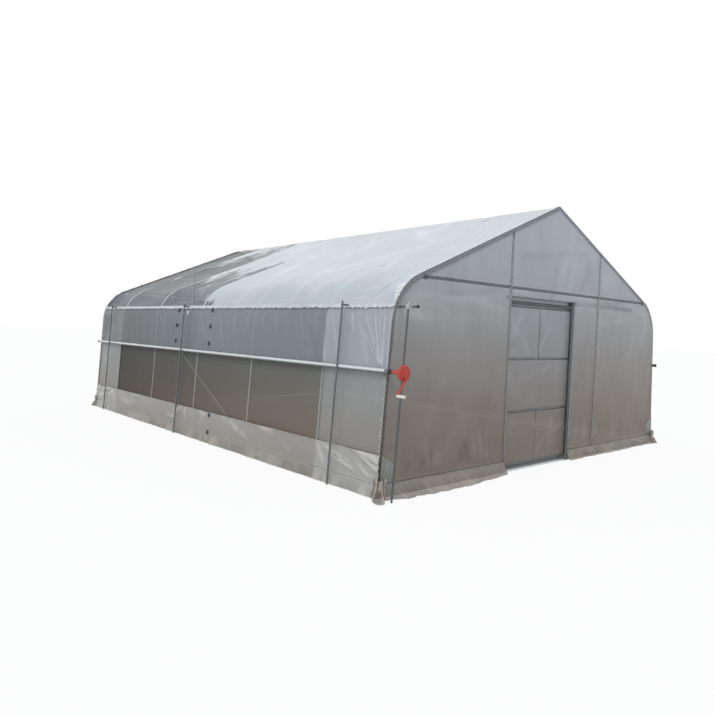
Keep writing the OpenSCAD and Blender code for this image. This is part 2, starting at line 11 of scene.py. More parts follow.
import bmesh
import bpy
import numpy as np
from mathutils import Matrix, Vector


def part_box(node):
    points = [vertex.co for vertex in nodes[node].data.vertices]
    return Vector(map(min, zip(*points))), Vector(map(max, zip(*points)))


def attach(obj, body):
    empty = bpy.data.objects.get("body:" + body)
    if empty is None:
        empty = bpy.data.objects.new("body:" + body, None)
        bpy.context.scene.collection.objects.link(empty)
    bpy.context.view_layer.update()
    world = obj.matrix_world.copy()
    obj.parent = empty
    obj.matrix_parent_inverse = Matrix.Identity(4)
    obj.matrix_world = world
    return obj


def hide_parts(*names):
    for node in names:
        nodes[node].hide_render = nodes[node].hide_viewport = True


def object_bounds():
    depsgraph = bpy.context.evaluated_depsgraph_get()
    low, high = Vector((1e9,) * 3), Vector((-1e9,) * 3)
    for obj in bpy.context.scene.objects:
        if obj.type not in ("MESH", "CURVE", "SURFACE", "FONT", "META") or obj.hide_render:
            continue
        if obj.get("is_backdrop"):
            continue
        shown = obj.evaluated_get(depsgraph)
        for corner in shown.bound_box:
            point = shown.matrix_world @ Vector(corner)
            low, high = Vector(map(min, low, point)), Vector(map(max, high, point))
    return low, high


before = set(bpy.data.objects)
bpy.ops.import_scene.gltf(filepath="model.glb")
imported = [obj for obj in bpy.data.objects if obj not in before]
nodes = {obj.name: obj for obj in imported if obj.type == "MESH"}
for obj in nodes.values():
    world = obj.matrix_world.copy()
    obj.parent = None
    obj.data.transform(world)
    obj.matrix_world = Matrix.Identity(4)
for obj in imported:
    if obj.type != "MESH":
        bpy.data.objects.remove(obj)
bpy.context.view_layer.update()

# %% [markdown]
# ## The camera
# A person stands ahead of the left corner and looks along the house and across the door gable. The
# camera is placed by its own three directions: one to the right of the view, one up and one ahead.
# A small roll is kept, because a camera in the hand is never quite level.

# %% Camera
CAMERA_AT = (-7.131, -8.289, 1.628)
YAW, PITCH, ROLL = (math.radians(v) for v in (-41.364, -2.471, 2.085))
LENS = 31.30

ahead = np.array([math.sin(-YAW) * math.cos(PITCH), math.cos(YAW) * math.cos(PITCH), math.sin(PITCH)])
level = np.cross(ahead, (0, 0, 1))
level /= np.linalg.norm(level)
upright = np.cross(level, ahead)
right = math.cos(ROLL) * level + math.sin(ROLL) * upright
up = -math.sin(ROLL) * level + math.cos(ROLL) * upright

bpy.ops.object.camera_add(location=CAMERA_AT)
camera = bpy.context.object
camera.name = "camera"
camera.data.lens = LENS
camera.data.clip_end = 400
turn = np.eye(4)
turn[:3, 0], turn[:3, 1], turn[:3, 2], turn[:3, 3] = right, up, -ahead, CAMERA_AT
camera.matrix_world = Matrix(turn.tolist())
bpy.context.scene.camera = camera
print("camera at", CAMERA_AT, "lens", LENS)

# %% [markdown]
# ## Colours and nodes
# A finish is a small network of nodes, and three helpers build them all. One turns a colour, as a paint
# card gives it, into the linear numbers that shaders use. One empties the tree of a new material. The
# third adds a node, joins its inputs, and hands on the output that the next node needs.

# %% Colours and nodes
WHITE = (1, 1, 1, 1)


def linear(hex_code):
    """An sRGB colour such as #8b9297, as the linear numbers that shaders use."""
    parts = [int(hex_code[i : i + 2], 16) / 255 for i in (1, 3, 5)]
    return [c / 12.92 if c <= 0.04045 else ((c + 0.055) / 1.055) ** 2.4 for c in parts] + [1.0]


def add(owner, kind, links=None, out=0, **settings):
    """Adds a shader node and returns one of its outputs, or all of them where out is None.

    links gives each input, by name or number, a socket or a value; settings are the node's own."""
    node = owner.node_tree.nodes.new("ShaderNode" + kind)
    for key, value in settings.items():
        setattr(node, key, value)
    for key, value in (links or {}).items():
        if isinstance(value, bpy.types.NodeSocket):
            owner.node_tree.links.new(value, node.inputs[key])
        else:
            node.inputs[key].default_value = value
    return node.outputs if out is None or not node.outputs else node.outputs[out]


def emptied(owner):
    """The same material or world with an empty node tree, so that only what is added here counts."""
    owner.use_nodes = True
    owner.node_tree.nodes.clear()
    return owner


print("linear grey", [round(c, 3) for c in linear("#808080")])

# %% [markdown]
# ## Floor, backdrop and light
# The house stands on a plain pale floor under a wide soft sky. The floor is lifted towards white only
# for rays that come straight from the camera, so the house itself gets no extra light, and its soft
# shadow stays. Inside the house the lift is left out, so the shade under the film stays shade. A broad
# lamp high on the left gives the roof part of its brightness over the walls; the rest is painted light
# and shade in the colours of the films.

# %% Floor
FLOOR_LIFT = 0.88
INDOORS = (("X", 0.0, 3.015), ("Y", 0.02, 3.98))

bpy.ops.mesh.primitive_plane_add(size=240, location=(0, 0, 0))
floor = bpy.context.object
floor.name = "floor"
floor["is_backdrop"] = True
floor_paint = emptied(bpy.data.materials.new("pale matt floor, painted"))
spot = add(floor_paint, "SeparateXYZ", {0: add(floor_paint, "TexCoord", out="Object")}, out=None)
inside = []
for axis, middle, half in INDOORS:
    away = add(floor_paint, "Math", {0: spot[axis], 1: middle}, operation="SUBTRACT")
    away = add(floor_paint, "Math", {0: away}, operation="ABSOLUTE")
    inside.append(add(floor_paint, "Math", {0: away, 1: half}, operation="LESS_THAN"))
indoors = add(floor_paint, "Math", {0: inside[0], 1: inside[1]}, operation="MULTIPLY")
outdoors = add(floor_paint, "Math", {0: -FLOOR_LIFT, 1: indoors, 2: FLOOR_LIFT}, operation="MULTIPLY_ADD")
direct = add(floor_paint, "LightPath", out="Is Camera Ray")
share = add(floor_paint, "Math", {0: direct, 1: outdoors}, operation="MULTIPLY")
diffuse = add(floor_paint, "BsdfDiffuse", {"Color": linear("#f6f6f5")})
lift = add(floor_paint, "Emission", {"Color": WHITE, "Strength": 1.0})
mixed = add(floor_paint, "MixShader", {0: share, 1: diffuse, 2: lift})
add(floor_paint, "OutputMaterial", {"Surface": mixed})
floor.data.materials.append(floor_paint)
print("floor", round(floor.dimensions.x), "m wide")

# %% Sky and lamp
world = emptied(bpy.data.worlds.new("soft sky"))
bpy.context.scene.world = world
rays = add(world, "LightPath", out=None)
seen = add(world, "Math", {0: rays["Is Camera Ray"], 1: rays["Is Glossy Ray"]}, operation="MAXIMUM")
sky = add(world, "Background", {"Color": linear("#eef2f6"), "Strength": 0.70})
backdrop = add(world, "Background", {"Color": WHITE, "Strength": 1.0})
add(world, "OutputWorld", {"Surface": add(world, "MixShader", {0: seen, 1: sky, 2: backdrop})})

bpy.ops.object.light_add(type="SUN", location=(-8, -6, 14))
lamp = bpy.context.object
lamp.name = "broad_lamp"
lamp.data.energy = 1.15
lamp.data.angle = math.radians(24)
lamp.rotation_euler = (math.radians(20), math.radians(-34), 0)
bpy.context.scene.view_settings.view_transform = "Standard"
print("sky and one broad lamp of strength", round(lamp.data.energy, 2))

# %% [markdown]
# ## The section of the house
# Every sheet of film follows one line across the house: up a leaning leg, round the shoulder and up the
# rafter to the ridge. A point on that line is named by how far along the line it lies, and by how far
# out from the pipe. All the sheets, and the wires that hold them, are laid out with it.

# %% Sizes of the frame
SIDES, ENDS = ((-1, "left"), (1, "right")), ((-1, "front"), (1, "rear"))
END_BOW, BAY = 3.95, 1.475
BOWS = (-3.95, -2.95, -1.475, 0.0, 1.475, 2.95, 3.95)
# Half the width at the feet, the unbent corner's place, the ridge's height and the bend's radius
FOOT, CORNER_IN, CORNER_UP, RIDGE, BEND = 3.0, 0.14, 2.07, 3.28, 0.6
BASE_Z, EAVE_Z = 0.130, 1.895
# The pipe's radius, the gap between pipe and film, and the film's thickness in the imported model
PIPE, REST, FILM = 0.016, 0.00055, 0.003
CORNER = FOOT - CORNER_IN
LEAN = math.atan(CORNER_IN / CORNER_UP)
SLOPE = math.atan((RIDGE - CORNER_UP) / CORNER)
TURN = math.pi / 2 - LEAN - SLOPE
TANGENT = BEND * math.tan(TURN / 2)
LEG = CORNER_UP / math.cos(LEAN) - TANGENT
ARC = BEND * TURN
TOTAL = LEG + ARC + CORNER / math.cos(SLOPE) - TANGENT
BEND_X = CORNER + TANGENT * math.sin(LEAN) - BEND * math.cos(LEAN)
BEND_Z = CORNER_UP - TANGENT * math.cos(LEAN) - BEND * math.sin(LEAN)
EAVE_S = LEG + BEND * (math.asin((EAVE_Z - BEND_Z) / BEND) - LEAN)
print("leg", round(LEG, 3), "bend", round(ARC, 3), "whole", round(TOTAL, 3), "eave at", round(EAVE_S, 3))

# %% Section
def section(s, out=0.0):
    """Points (x, z) and outward directions on the right side, s metres up the line, out from it."""
    s, out = np.broadcast_arrays(np.asarray(s, float), np.asarray(out, float))
    angle = LEAN + np.clip(s - LEG, 0, ARC) / BEND
    nx, nz = np.cos(angle), np.sin(angle)
    straight = np.where(s < LEG, s - LEG, np.maximum(s - LEG - ARC, 0))
    return BEND_X + (BEND + out) * nx - straight * nz, BEND_Z + (BEND + out) * nz + straight * nx, nx, nz


def up_to(z):
    """How far up the line the leg reaches height z."""
    return z / math.cos(LEAN)


print("foot and ridge:", [np.round(section(s)[:2], 3).tolist() for s in (0, TOTAL)])

# %% [markdown]
# ## How film wrinkles
# Film that is pulled over pipes keeps three marks: it sinks a little between two bows, it bunches in
# short folds beside every channel that clamps it, and long soft creases run from where it was pulled.
# Each crease is a low ridge with soft ends. The same seed always gives the same creases, so the house
# looks the same each time it is made.

# %% Wrinkles
def creases(u, v, seed, count, box, angle, spread, length, width, height):
    """Sum of low straight ridges, in metres. box = (u0, u1, v0, v1) is where their middles lie."""
    rng = np.random.default_rng(seed)
    total = np.zeros_like(u)
    for _ in range(count):
        cu, cv = rng.uniform(box[0], box[1]), rng.uniform(box[2], box[3])
        a = angle + rng.normal(0, spread)
        l, w = length * rng.uniform(0.5, 1.5), width * rng.uniform(0.6, 1.6)
        h = height * rng.uniform(0.4, 1.0) * rng.choice((-1, 1, 1))
        along = (u - cu) * math.cos(a) + (v - cv) * math.sin(a)
        across = (v - cv) * math.cos(a) - (u - cu) * math.sin(a) + 0.03 * np.sin(along * 4 + cu)
        total += h * np.exp(-((across / w) ** 2) - np.abs(along / l) ** 4)
    return total


def bunching(along, depth, seed, reach, height):
    """Short folds that stand beside a clamped edge and die out away from it."""
    rng = np.random.default_rng(seed)
    wave = sum(np.sin(along * 2 * math.pi / p + rng.uniform(0, 6)) for p in (0.093, 0.131, 0.19, 0.31))
    return height * wave * np.exp(-depth / reach) * np.clip((depth - 0.02) / 0.04, 0, 1)


def smooth(value, low, high):
    """0 below low, 1 above high and a soft step between."""
    t = np.clip((value - low) / (high - low), 0, 1)
    return t * t * (3 - 2 * t)


def fold_between(y, z, start, stop, width):
    """One straight fold from start to stop, as (y, z) in the sheet, that begins gently."""
    ahead, climb = stop[0] - start[0], stop[1] - start[1]
    length = math.hypot(ahead, climb)
    along = ((y - start[0]) * ahead + (z - start[1]) * climb) / length ** 2
    across = ((y - start[0]) * climb - (z - start[1]) * ahead) / length
    return np.exp(-((across / width) ** 2)) * smooth(along, -0.02, 0.3) * (1 - smooth(along, 0.9, 1.05))


def between_bows(y):
    """0 at each bow and 1 in the middle of a bay."""
    bows = np.asarray(BOWS)
    i = np.clip(np.searchsorted(bows, y) - 1, 0, len(bows) - 2)
    return np.sin(math.pi * np.clip((y - bows[i]) / (bows[i + 1] - bows[i]), 0, 1)) ** 2


print("sink at a quarter of a long bay:", round(float(between_bows(np.array(0.36875))), 2))

# %% [markdown]
# ## From a grid to a sheet
# Each sheet starts as a grid of points with its own two lengths, u and v, which become its UV map in
# metres. Beside a channel the grid lines stand close together, because there the film climbs over the
# channel's lip and goes down into its mouth, where the zigzag wire holds it. Mesh code is used instead
# of the cloth simulation, because tight film hardly falls: its shape is given by what it is pulled over.

# %% Over a channel and beside it
MOUTH_D = np.array((0, 0.0055, 0.0083, 0.0093, 0.0143, 0.0175, 0.026))
MOUTH_OUT = np.array((0.0042, 0.0046, 0.0105, 0.0137, 0.0137, 0.0118, 0.0030))


def over_channel(d, rise=0.0):
    """How far out from its pipe a sheet lies, d metres from the middle of a channel."""
    return np.interp(np.abs(d), MOUTH_D, MOUTH_OUT + rise * np.array((1, 1, 1, 1, 1, 1, 0)))


def lines(low, high, step, low_channel=True, high_channel=True):
    """Grid lines from low to high, close together at an end that lies in a channel."""
    a = low + MOUTH_D[-1] * low_channel
    b = high - MOUTH_D[-1] * high_channel
    middle = np.linspace(a, b, max(2, round((b - a) / step)) + 1)
    first = low + MOUTH_D[:-1] if low_channel else []
    last = (high - MOUTH_D[:-1])[::-1] if high_channel else []
    return np.concatenate((first, middle, last))


def in_channel(d):
    """1 where a sheet lies in or on a channel, d metres from its middle, and 0 beside it."""
    return 1 - smooth(np.abs(d), 0.0135, 0.026)


def placed(side, s, y, out):
    """Points of a sheet on the right (side 1) or left (side -1), from s, y and out grids."""
    x, z, _, _ = section(s, out)
    return np.stack((side * x, y, z), -1)


print("film lies", *(over_channel(d) * 1000 for d in (0, 0.03)), "mm out, in a channel and beside it")

# %% Sheets
def make_sheet(name, grids, outward, material, body, node_names):
    """One mesh from grids of (u, v, points, touch, fold), all facing outward.

    u and v in metres become its UV map, and touch and fold its attributes of those names."""
    builder = bmesh.new()
    layer = builder.loops.layers.uv.new("sheet")
    touches, folds = (builder.verts.layers.float.new(word) for word in ("touch", "fold"))
    for u, v, points, touch, fold in grids:
        rows, cols = u.shape
        verts = [builder.verts.new(p) for p in points.reshape(-1, 3)]
        touch, fold = np.broadcast_to(touch, u.shape), np.broadcast_to(fold, u.shape)
        for vert, near, crest in zip(verts, touch.flat, fold.flat):
            vert[touches], vert[folds] = near, crest
        cross = np.cross(points[1:, :-1] - points[:-1, :-1], points[:-1, 1:] - points[:-1, :-1])
        turned = float(np.sum(cross @ np.asarray(outward, float))) < 0
        for i in range(rows - 1):
            for j in range(cols - 1):
                ring = [i * cols + j, (i + 1) * cols + j, (i + 1) * cols + j + 1, i * cols + j + 1]
                ring = ring[::-1] if turned else ring
                face = builder.faces.new([verts[k] for k in ring])
                face.smooth = True
                for loop, k in zip(face.loops, ring):
                    loop[layer].uv = (u.flat[k], v.flat[k])
    if len(grids) > 1:
        bmesh.ops.remove_doubles(builder, verts=builder.verts, dist=0.0002)
    mesh = bpy.data.meshes.new(name)
    builder.to_mesh(mesh)
    builder.free()
    sheet = bpy.data.objects.new(name, mesh)
    bpy.context.scene.collection.objects.link(sheet)
    mesh.materials.append(material)
    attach(sheet, body)
    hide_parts(*node_names)
    print(name, len(mesh.polygons), "faces")
    return sheet


print("the grids of one sheet are joined where points lie less than 0.2 mm apart")

# %% [markdown]
# ## Polythene film
# Greenhouse film is blown low-density polythene, 0.15 to 0.2 mm thick, with an IOR of about 1.5. It
# scatters the light, so it looks milky where it stands free, and it goes clear where it is pressed on
# a pipe. Rain and soil dust leave it browner towards the ground. So its colour follows the height, its
# opacity and tone change over the pipes and channels that it touches, and a fine grain of dust and drops
# breaks up its gloss. Along a hard crease the plastic is stretched and whitens, and this is drawn strong
# enough to stand also as a painted highlight on the crease. The sheet's own "touch" attribute says where
# it lies in a channel or on an end bow, and its "fold" attribute where it creased; where "fold" is below
# zero, the film is darkened as painted shade.

# %% Film over pipes
SOFT = {"interpolation_type": "SMOOTHSTEP"}
COLOUR = {"data_type": "RGBA", "out": 2}


def banded(material, band, opaque, shade, opacity, tone):
    """A film's opacity and shade, turned to opacity and tone where band is 1."""
    opaque = add(material, "Mix", {0: band, 2: opaque, 3: opacity})
    toned = add(material, "MapRange", {"Value": band, "To Min": 1.0, "To Max": tone})
    return opaque, add(material, "Math", {0: shade, 1: toned}, operation="MULTIPLY")


def over_bows(material, along, opaque, shade, opacity, tone):
    """The same over every bow; along is the socket that tells the place along the house."""
    inner = add(material, "Math", {0: along, 1: BAY / 2}, operation="PINGPONG")
    far = add(material, "Math", {0: along}, operation="ABSOLUTE")
    end = add(material, "Math", {0: far, 1: END_BOW}, operation="SUBTRACT")
    end = add(material, "Math", {0: end}, operation="ABSOLUTE")
    bow = add(material, "Math", {0: inner, 1: end}, operation="MINIMUM")
    band = add(material, "MapRange", {"Value": bow, "From Min": 0.010, "From Max": 0.034,
                                      "To Min": 1.0, "To Max": 0.0}, **SOFT)
    return banded(material, band, opaque, shade, opacity, tone)


def over_bar(material, split, opaque, shade, bar):
    """The same over one straight bar, given as the film finish takes it."""
    axis, middle, half, opacity, tone, other, first, last = bar
    away = add(material, "Math", {0: split[axis], 1: middle}, operation="SUBTRACT")
    away = add(material, "Math", {0: away}, operation="ABSOLUTE")
    band = add(material, "MapRange", {"Value": away, "From Min": half - 0.003, "From Max": half + 0.007,
                                      "To Min": 1.0, "To Max": 0.0}, **SOFT)
    reach = add(material, "Math", {0: split[other], 1: (first + last) / 2}, operation="SUBTRACT")
    reach = add(material, "Math", {0: reach}, operation="ABSOLUTE")
    reach = add(material, "Math", {0: reach, 1: (last - first) / 2}, operation="LESS_THAN")
    band = add(material, "Math", {0: band, 1: reach}, operation="MULTIPLY")
    return banded(material, band, opaque, shade, opacity, tone)


print("bands on bows", BAY, "m apart and on the end bows at", END_BOW)

# %% Film finish
def film(name, low, high, z_low, z_high, opacity, touching, gloss=0.34, double=None, on_bow=None, bars=(),
         rear=1.0):
    """Material of one film, from the colour low at z_low to the colour high at z_high.

    touching is its opacity in a channel, double its colour where a second film lies behind it, and
    on_bow its (opacity, tone) over the bows. rear is how much of its brightness is left towards the
    rear, where it is drawn darker. bars are pipes behind it: (axis, middle, half width, opacity,
    tone, other axis, from, to)."""
    material = emptied(bpy.data.materials.new(name))
    at = add(material, "TexCoord", out="Object")
    split = add(material, "SeparateXYZ", {0: at}, out=None)
    rise = add(material, "MapRange", {"Value": split["Z"], "From Min": z_low, "From Max": z_high}, **SOFT)
    body = add(material, "Mix", {"Factor": rise, 6: linear(low), 7: linear(high)}, **COLOUR)
    # Cloudy patches of condensation and dust, about 0.8 m across
    cloud = add(material, "TexNoise", {"Vector": at, "Scale": 1.3, "Detail": 4.0, "Roughness": 0.55}, "Fac")
    patch = add(material, "MapRange", {"Value": cloud, "From Min": 0.35, "From Max": 0.65,
                                       "To Min": 0.95, "To Max": 1.04})
    # Streaks that rain has washed down the film, about 40 mm wide
    down = add(material, "Mapping", {"Vector": at, "Scale": (24.0, 24.0, 1.4)})
    streak = add(material, "TexNoise", {"Vector": down, "Scale": 1.0, "Detail": 3.0}, "Fac")
    washed = add(material, "MapRange", {"Value": streak, "From Min": 0.3, "From Max": 0.7,
                                        "To Min": 0.975, "To Max": 1.02})
    shade = add(material, "Math", {0: patch, 1: washed}, operation="MULTIPLY")
    # A positive fold whitens the film, as stretched plastic and as painted highlight; a negative fold darkens
    # it as painted shade
    crest = add(material, "Attribute", out="Fac", attribute_name="fold")
    crease_whitening_and_shade = add(material, "Math", {0: crest, 1: 0.42, 2: 1.0}, operation="MULTIPLY_ADD")
    shade = add(material, "Math", {0: shade, 1: crease_whitening_and_shade}, operation="MULTIPLY")
    # Towards the rear the film is drawn darker, down to the share rear
    if rear != 1.0:
        rearward_tone = add(material, "MapRange", {"Value": split["Y"], "From Min": -0.8, "From Max": 2.6,
                                           "To Min": 1.0, "To Max": rear})
        shade = add(material, "Math", {0: shade, 1: rearward_tone}, operation="MULTIPLY")
    held = add(material, "Attribute", out="Fac", attribute_name="touch")
    opaque = add(material, "MapRange", {"Value": held, "To Min": opacity, "To Max": touching})
    if on_bow:
        opaque, shade = over_bows(material, split["Y"], opaque, shade, *on_bow)
    for bar in bars:
        opaque, shade = over_bar(material, split, opaque, shade, bar)
    if double:
        # The second film is in the end bays, and the two together look paler
        length = add(material, "Math", {0: split["Y"]}, operation="ABSOLUTE")
        end_bay = add(material, "MapRange", {"Value": length, "From Min": 2.93, "From Max": 2.97})
        body = add(material, "Mix", {"Factor": end_bay, 6: body, 7: linear(double)}, **COLOUR)
    colour = add(material, "VectorMath", {0: body, "Scale": shade}, operation="SCALE")
    # Drops and dust, 2 to 4 mm across in life and drawn at 9 mm so that they show
    drops = add(material, "TexNoise", {"Vector": at, "Scale": 110.0, "Detail": 2.0}, "Fac")
    dull = add(material, "MapRange", {"Value": drops, "From Min": 0.35, "From Max": 0.65,
                                      "To Min": gloss - 0.06, "To Max": gloss + 0.1})
    bump = add(material, "Bump", {"Height": drops, "Strength": 0.08, "Distance": 0.002})
    shader = add(material, "BsdfPrincipled", {"Base Color": colour, "Roughness": dull, "Alpha": opaque,
                                              "Normal": bump, "IOR": 1.5})
    add(material, "OutputMaterial", {"Surface": shader})
    return material


print("polythene has an IOR of 1.5, and its dust is drawn in", round(1000 / 110), "mm grains")

# %% Films of the house
# The tie bar with its end clamps and the door track are seen through the gables. Over the tie bar and its
# clamps the film is drawn darker: painted shade on the bar behind it.
TIE_BAR = ("Z", 2.203, 0.015, 0.5, 0.55, "X", -2.47, 2.47)
TIE_CLAMPS = [("Z", 2.199, 0.024, 0.4, 0.62, "X", end, end + 0.075) for end in (-2.485, 2.410)]
TRACK = ("Z", 2.083, 0.028, 0.72, 1.0, "X", -1.06, 2.11)
SOILED, MILKY = "#7b6f65", "#a9afb6"

# The same polythene is painted bright on the roof, a little darker low on its shoulders, and much darker on
# the sides and the gables: painted light where the roof faces the sky, and painted shade on the walls. Over
# the bows and legs the roof and the curtain are drawn 13 % lighter, a painted highlight along each pipe under
# the film.
roof_finish = film("blown polythene film, roof", "#b8c0c8", "#c9d1d8", 1.9, 2.5, 0.94, 0.93, 0.26,
                   on_bow=(0.95, 1.13))
curtain_finish = film("blown polythene film, roll-up side", "#757c82", "#7b8288", 1.25, 1.9, 0.94, 0.85,
                      double="#a0a5aa", on_bow=(0.94, 1.13), rear=0.52)
end_finish = film("blown polythene film, end bays", "#8e8985", "#8f9394", 0.3, 1.5, 0.93, 0.6)
gable_finish = film("blown polythene film, gables", SOILED, MILKY, 0.3, 3.1, 0.93, 0.3,
                    bars=[TIE_BAR, *TIE_CLAMPS, TRACK])
rear_finish = film("blown polythene film, rear gable", SOILED, MILKY, 0.3, 3.1, 0.93, 0.3,
                   bars=[TIE_BAR, *TIE_CLAMPS])
skirt_finish = film("blown polythene film, skirt", "#9d968e", "#a6a39e", 0.0, 0.4, 0.86, 0.9, 0.4,
                    double="#b1afab")
apron_finish = film("blown polythene film, soiled skirt", "#857b71", "#9b948c", 0.0, 0.25, 0.86, 0.85, 0.4)
lap_finish = film("blown polythene film, skirt lap", "#83867f", "#90948d", 0.1, 0.4, 0.82, 0.75, 0.4)
# The roll is drawn dark grey on its underside and white above: painted shade under the roll, and soil that
# rain splashed up onto it
rolled_finish = film("polythene film, rolled in layers", "#6f7273", "#d6d8d8", 1.235, 1.249, 1.0, 1.0, 0.3)
print("film finishes:", sum("polythene" in material.name for material in bpy.data.materials))

# %% [markdown]
# ## Painted reflection on the roof
# Towards the rear the roof is painted in cloudy grey-green patches, a painted reflection of trees, first
# low down and beside the bows, and there the film is also made clearer and lets the dark inside show.
# On a bow it stays white, with its painted highlight. How far the patches reach comes from the bay and
# the height, and a noise breaks up their edge.

# %% How far the painted reflection reaches
at = add(roof_finish, "TexCoord", out="Object")
split = add(roof_finish, "SeparateXYZ", {0: at}, out=None)
flat_way = add(roof_finish, "Mapping", {"Vector": at, "Scale": (1.0, 1.7, 1.0), "Location": (3.1, 0.4, 1.7)})
cloud = add(roof_finish, "TexNoise", {"Vector": flat_way, "Scale": 1.9, "Detail": 7.0,
                                      "Roughness": 0.62}, "Fac")
# Low down, the painted reflection begins a little ahead of the middle bow
low_part = add(roof_finish, "Math", {0: split["Z"], 1: -2.6, 2: 5.45}, operation="MULTIPLY_ADD")
low_part = add(roof_finish, "Math", {0: split["Y"], 1: 0.8, 2: low_part}, operation="MULTIPLY_ADD")
# Higher up it begins further back, and in each bay it is strongest behind the front bow
higher = add(roof_finish, "Math", {0: split["Z"], 1: 2.35}, operation="SUBTRACT")
higher = add(roof_finish, "Math", {0: higher, 1: 0.0}, operation="MAXIMUM")
higher = add(roof_finish, "Math", {0: higher, 1: -0.9, 2: 0.35}, operation="MULTIPLY_ADD")
higher = add(roof_finish, "Math", {0: split["Y"], 1: 0.38, 2: higher}, operation="MULTIPLY_ADD")
in_bay = add(roof_finish, "Math", {0: split["Y"], 1: 1 / BAY}, operation="MULTIPLY")
in_bay = add(roof_finish, "Math", {0: in_bay}, operation="FRACT")
higher = add(roof_finish, "Math", {0: in_bay, 1: -0.75, 2: higher}, operation="MULTIPLY_ADD")
reflection_reach = add(roof_finish, "Math", {0: low_part, 1: higher}, operation="MAXIMUM")
reflection_reach = add(roof_finish, "Math", {0: cloud, 1: 1.9, 2: reflection_reach}, operation="MULTIPLY_ADD")
reflection_reach = add(roof_finish, "MapRange", {"Value": reflection_reach, "From Min": 0.98, "From Max": 1.28}, **SOFT)
bow = add(roof_finish, "Math", {0: split["Y"], 1: BAY / 2}, operation="PINGPONG")
off_bow = add(roof_finish, "MapRange", {"Value": bow, "From Min": 0.012, "From Max": 0.045,
                                        "To Min": 0.25, "To Max": 0.95}, **SOFT)
# The right slope gets less of the painted reflection
left_slope_share = add(roof_finish, "MapRange", {"Value": split["X"], "From Min": -0.05, "From Max": 0.05,
                                       "To Min": 1.0, "To Max": 0.6})
reflection_amount = add(roof_finish, "Math", {0: reflection_reach, 1: off_bow}, operation="MULTIPLY")
reflection_amount = add(roof_finish, "Math", {0: reflection_amount, 1: left_slope_share}, operation="MULTIPLY")
print("bays with painted reflections: the rear three")

# %% Colour and opacity of the painted reflection
shader = next(node for node in roof_finish.node_tree.nodes if node.type == "BSDF_PRINCIPLED")
# The painted reflection of trees: blue-grey lower on the slope and green-grey higher up
upper = add(roof_finish, "MapRange", {"Value": split["Z"], "From Min": 2.1, "From Max": 2.6})
clear = add(roof_finish, "Mix", {"Factor": upper, 6: linear("#636b75"), 7: linear("#5e6765")}, **COLOUR)
unreflected_tone = shader.inputs["Base Color"].links[0].from_socket
toned = add(roof_finish, "Mix", {"Factor": reflection_amount, 6: unreflected_tone, 7: clear}, **COLOUR)
roof_finish.node_tree.links.new(toned, shader.inputs["Base Color"])
# Where the reflection is painted the film is also clearer, so the dark inside shows through
milky = shader.inputs["Alpha"].links[0].from_socket
thinner = add(roof_finish, "MapRange", {"Value": reflection_amount, "To Min": 1.0, "To Max": 0.6})
opaque = add(roof_finish, "Math", {0: milky, 1: thinner}, operation="MULTIPLY")
roof_finish.node_tree.links.new(opaque, shader.inputs["Alpha"])
print("roof finish:", len(roof_finish.node_tree.nodes), "nodes")

# %% [markdown]
# ## The roof sheet
# One sheet goes over the house from the left eave channel to the right one. It sinks 14 mm between the
# bows, and 28 mm round the shoulders, where its own pull draws it inward. Long creases run up it where
# it was pulled tight. At the front and rear it is clamped over the end bows, and it crumples there in
# short bright folds, most of all at the four shoulders.

# %% Grid of the roof
# w is the place across the roof from the ridge, and the grid is closer near the eaves and the ends
reach = TOTAL - EAVE_S
half = lines(0, reach, 0.032, low_channel=False)
half = half[(half < 2.71) | (half > reach - 0.06)]
near_eave = np.linspace(2.72, reach - 0.07, round((reach - 2.79) / 0.014))
half = np.sort(np.concatenate((half, near_eave)))
length = lines(-END_BOW, END_BOW, 0.028)
length = length[(np.abs(length) < 3.45) | (np.abs(length) > END_BOW - 0.06)]
near_end = np.linspace(3.46, END_BOW - 0.07, 30)
length = np.sort(np.concatenate((length, near_end, -near_end)))
w, y = np.meshgrid(np.concatenate((-half[:0:-1], half)), length, indexing="ij")
s = TOTAL - np.abs(w)
print("the roof sheet is", round(2 * reach, 2), "m from eave to eave")

# %% Creases of the roof
# Short bright folds of a shoulder: (start on the end bow, from the ridge; end at the eave; height)
SHOULDER_FOLDS = ((2.66, 3.62, 0.010), (2.74, 3.70, 0.016), (2.84, 3.78, 0.013), (2.93, 3.86, 0.016))

from_eave, from_end = reach - np.abs(w), END_BOW - np.abs(y)
over = np.maximum(over_channel(from_eave), over_channel(from_end))
free = smooth(np.minimum(from_eave, from_end), 0.03, 0.12)
round_bend = (1 - smooth(s, LEG + ARC, LEG + ARC + 0.5)) * smooth(from_eave, 0, 0.15)
sink = -(0.014 + 0.014 * round_bend) * between_bows(y) * smooth(np.abs(w), 0.02, 0.3)
pull = creases(w, y, 3, 70, (-3.1, 3.1, -3.8, 3.8), 0.0, 0.5, 0.6, 0.06, 0.011)
pull += creases(w, y, 4, 30, (-3.2, 3.2, -3.9, 3.9), 1.2, 0.35, 0.35, 0.045, 0.005)
for side in (-1, 1):
    for end in (-1, 1):
        box = sorted((side * 2.75, side * 3.15)) + sorted((end * 3.45, end * 3.85))
        pull += creases(w, y, 11 + side + end, 26, box, side * end * -0.9, 0.3, 0.2, 0.018, 0.007)
        for bow_w, eave_y, height in SHOULDER_FOLDS:
            top, foot = (end * 3.93, side * bow_w), (end * eave_y, side * 3.16)
            pull += height * fold_between(y, w, top, foot, 0.016)
fold = bunching(w, from_end, 5, 0.10, 0.0016) + bunching(y, from_eave, 6, 0.07, 0.0014)
out = over + free * np.clip(sink + pull, -0.029, 0.018) + fold
white = free * np.clip(pull / 0.020, 0, 0.8)
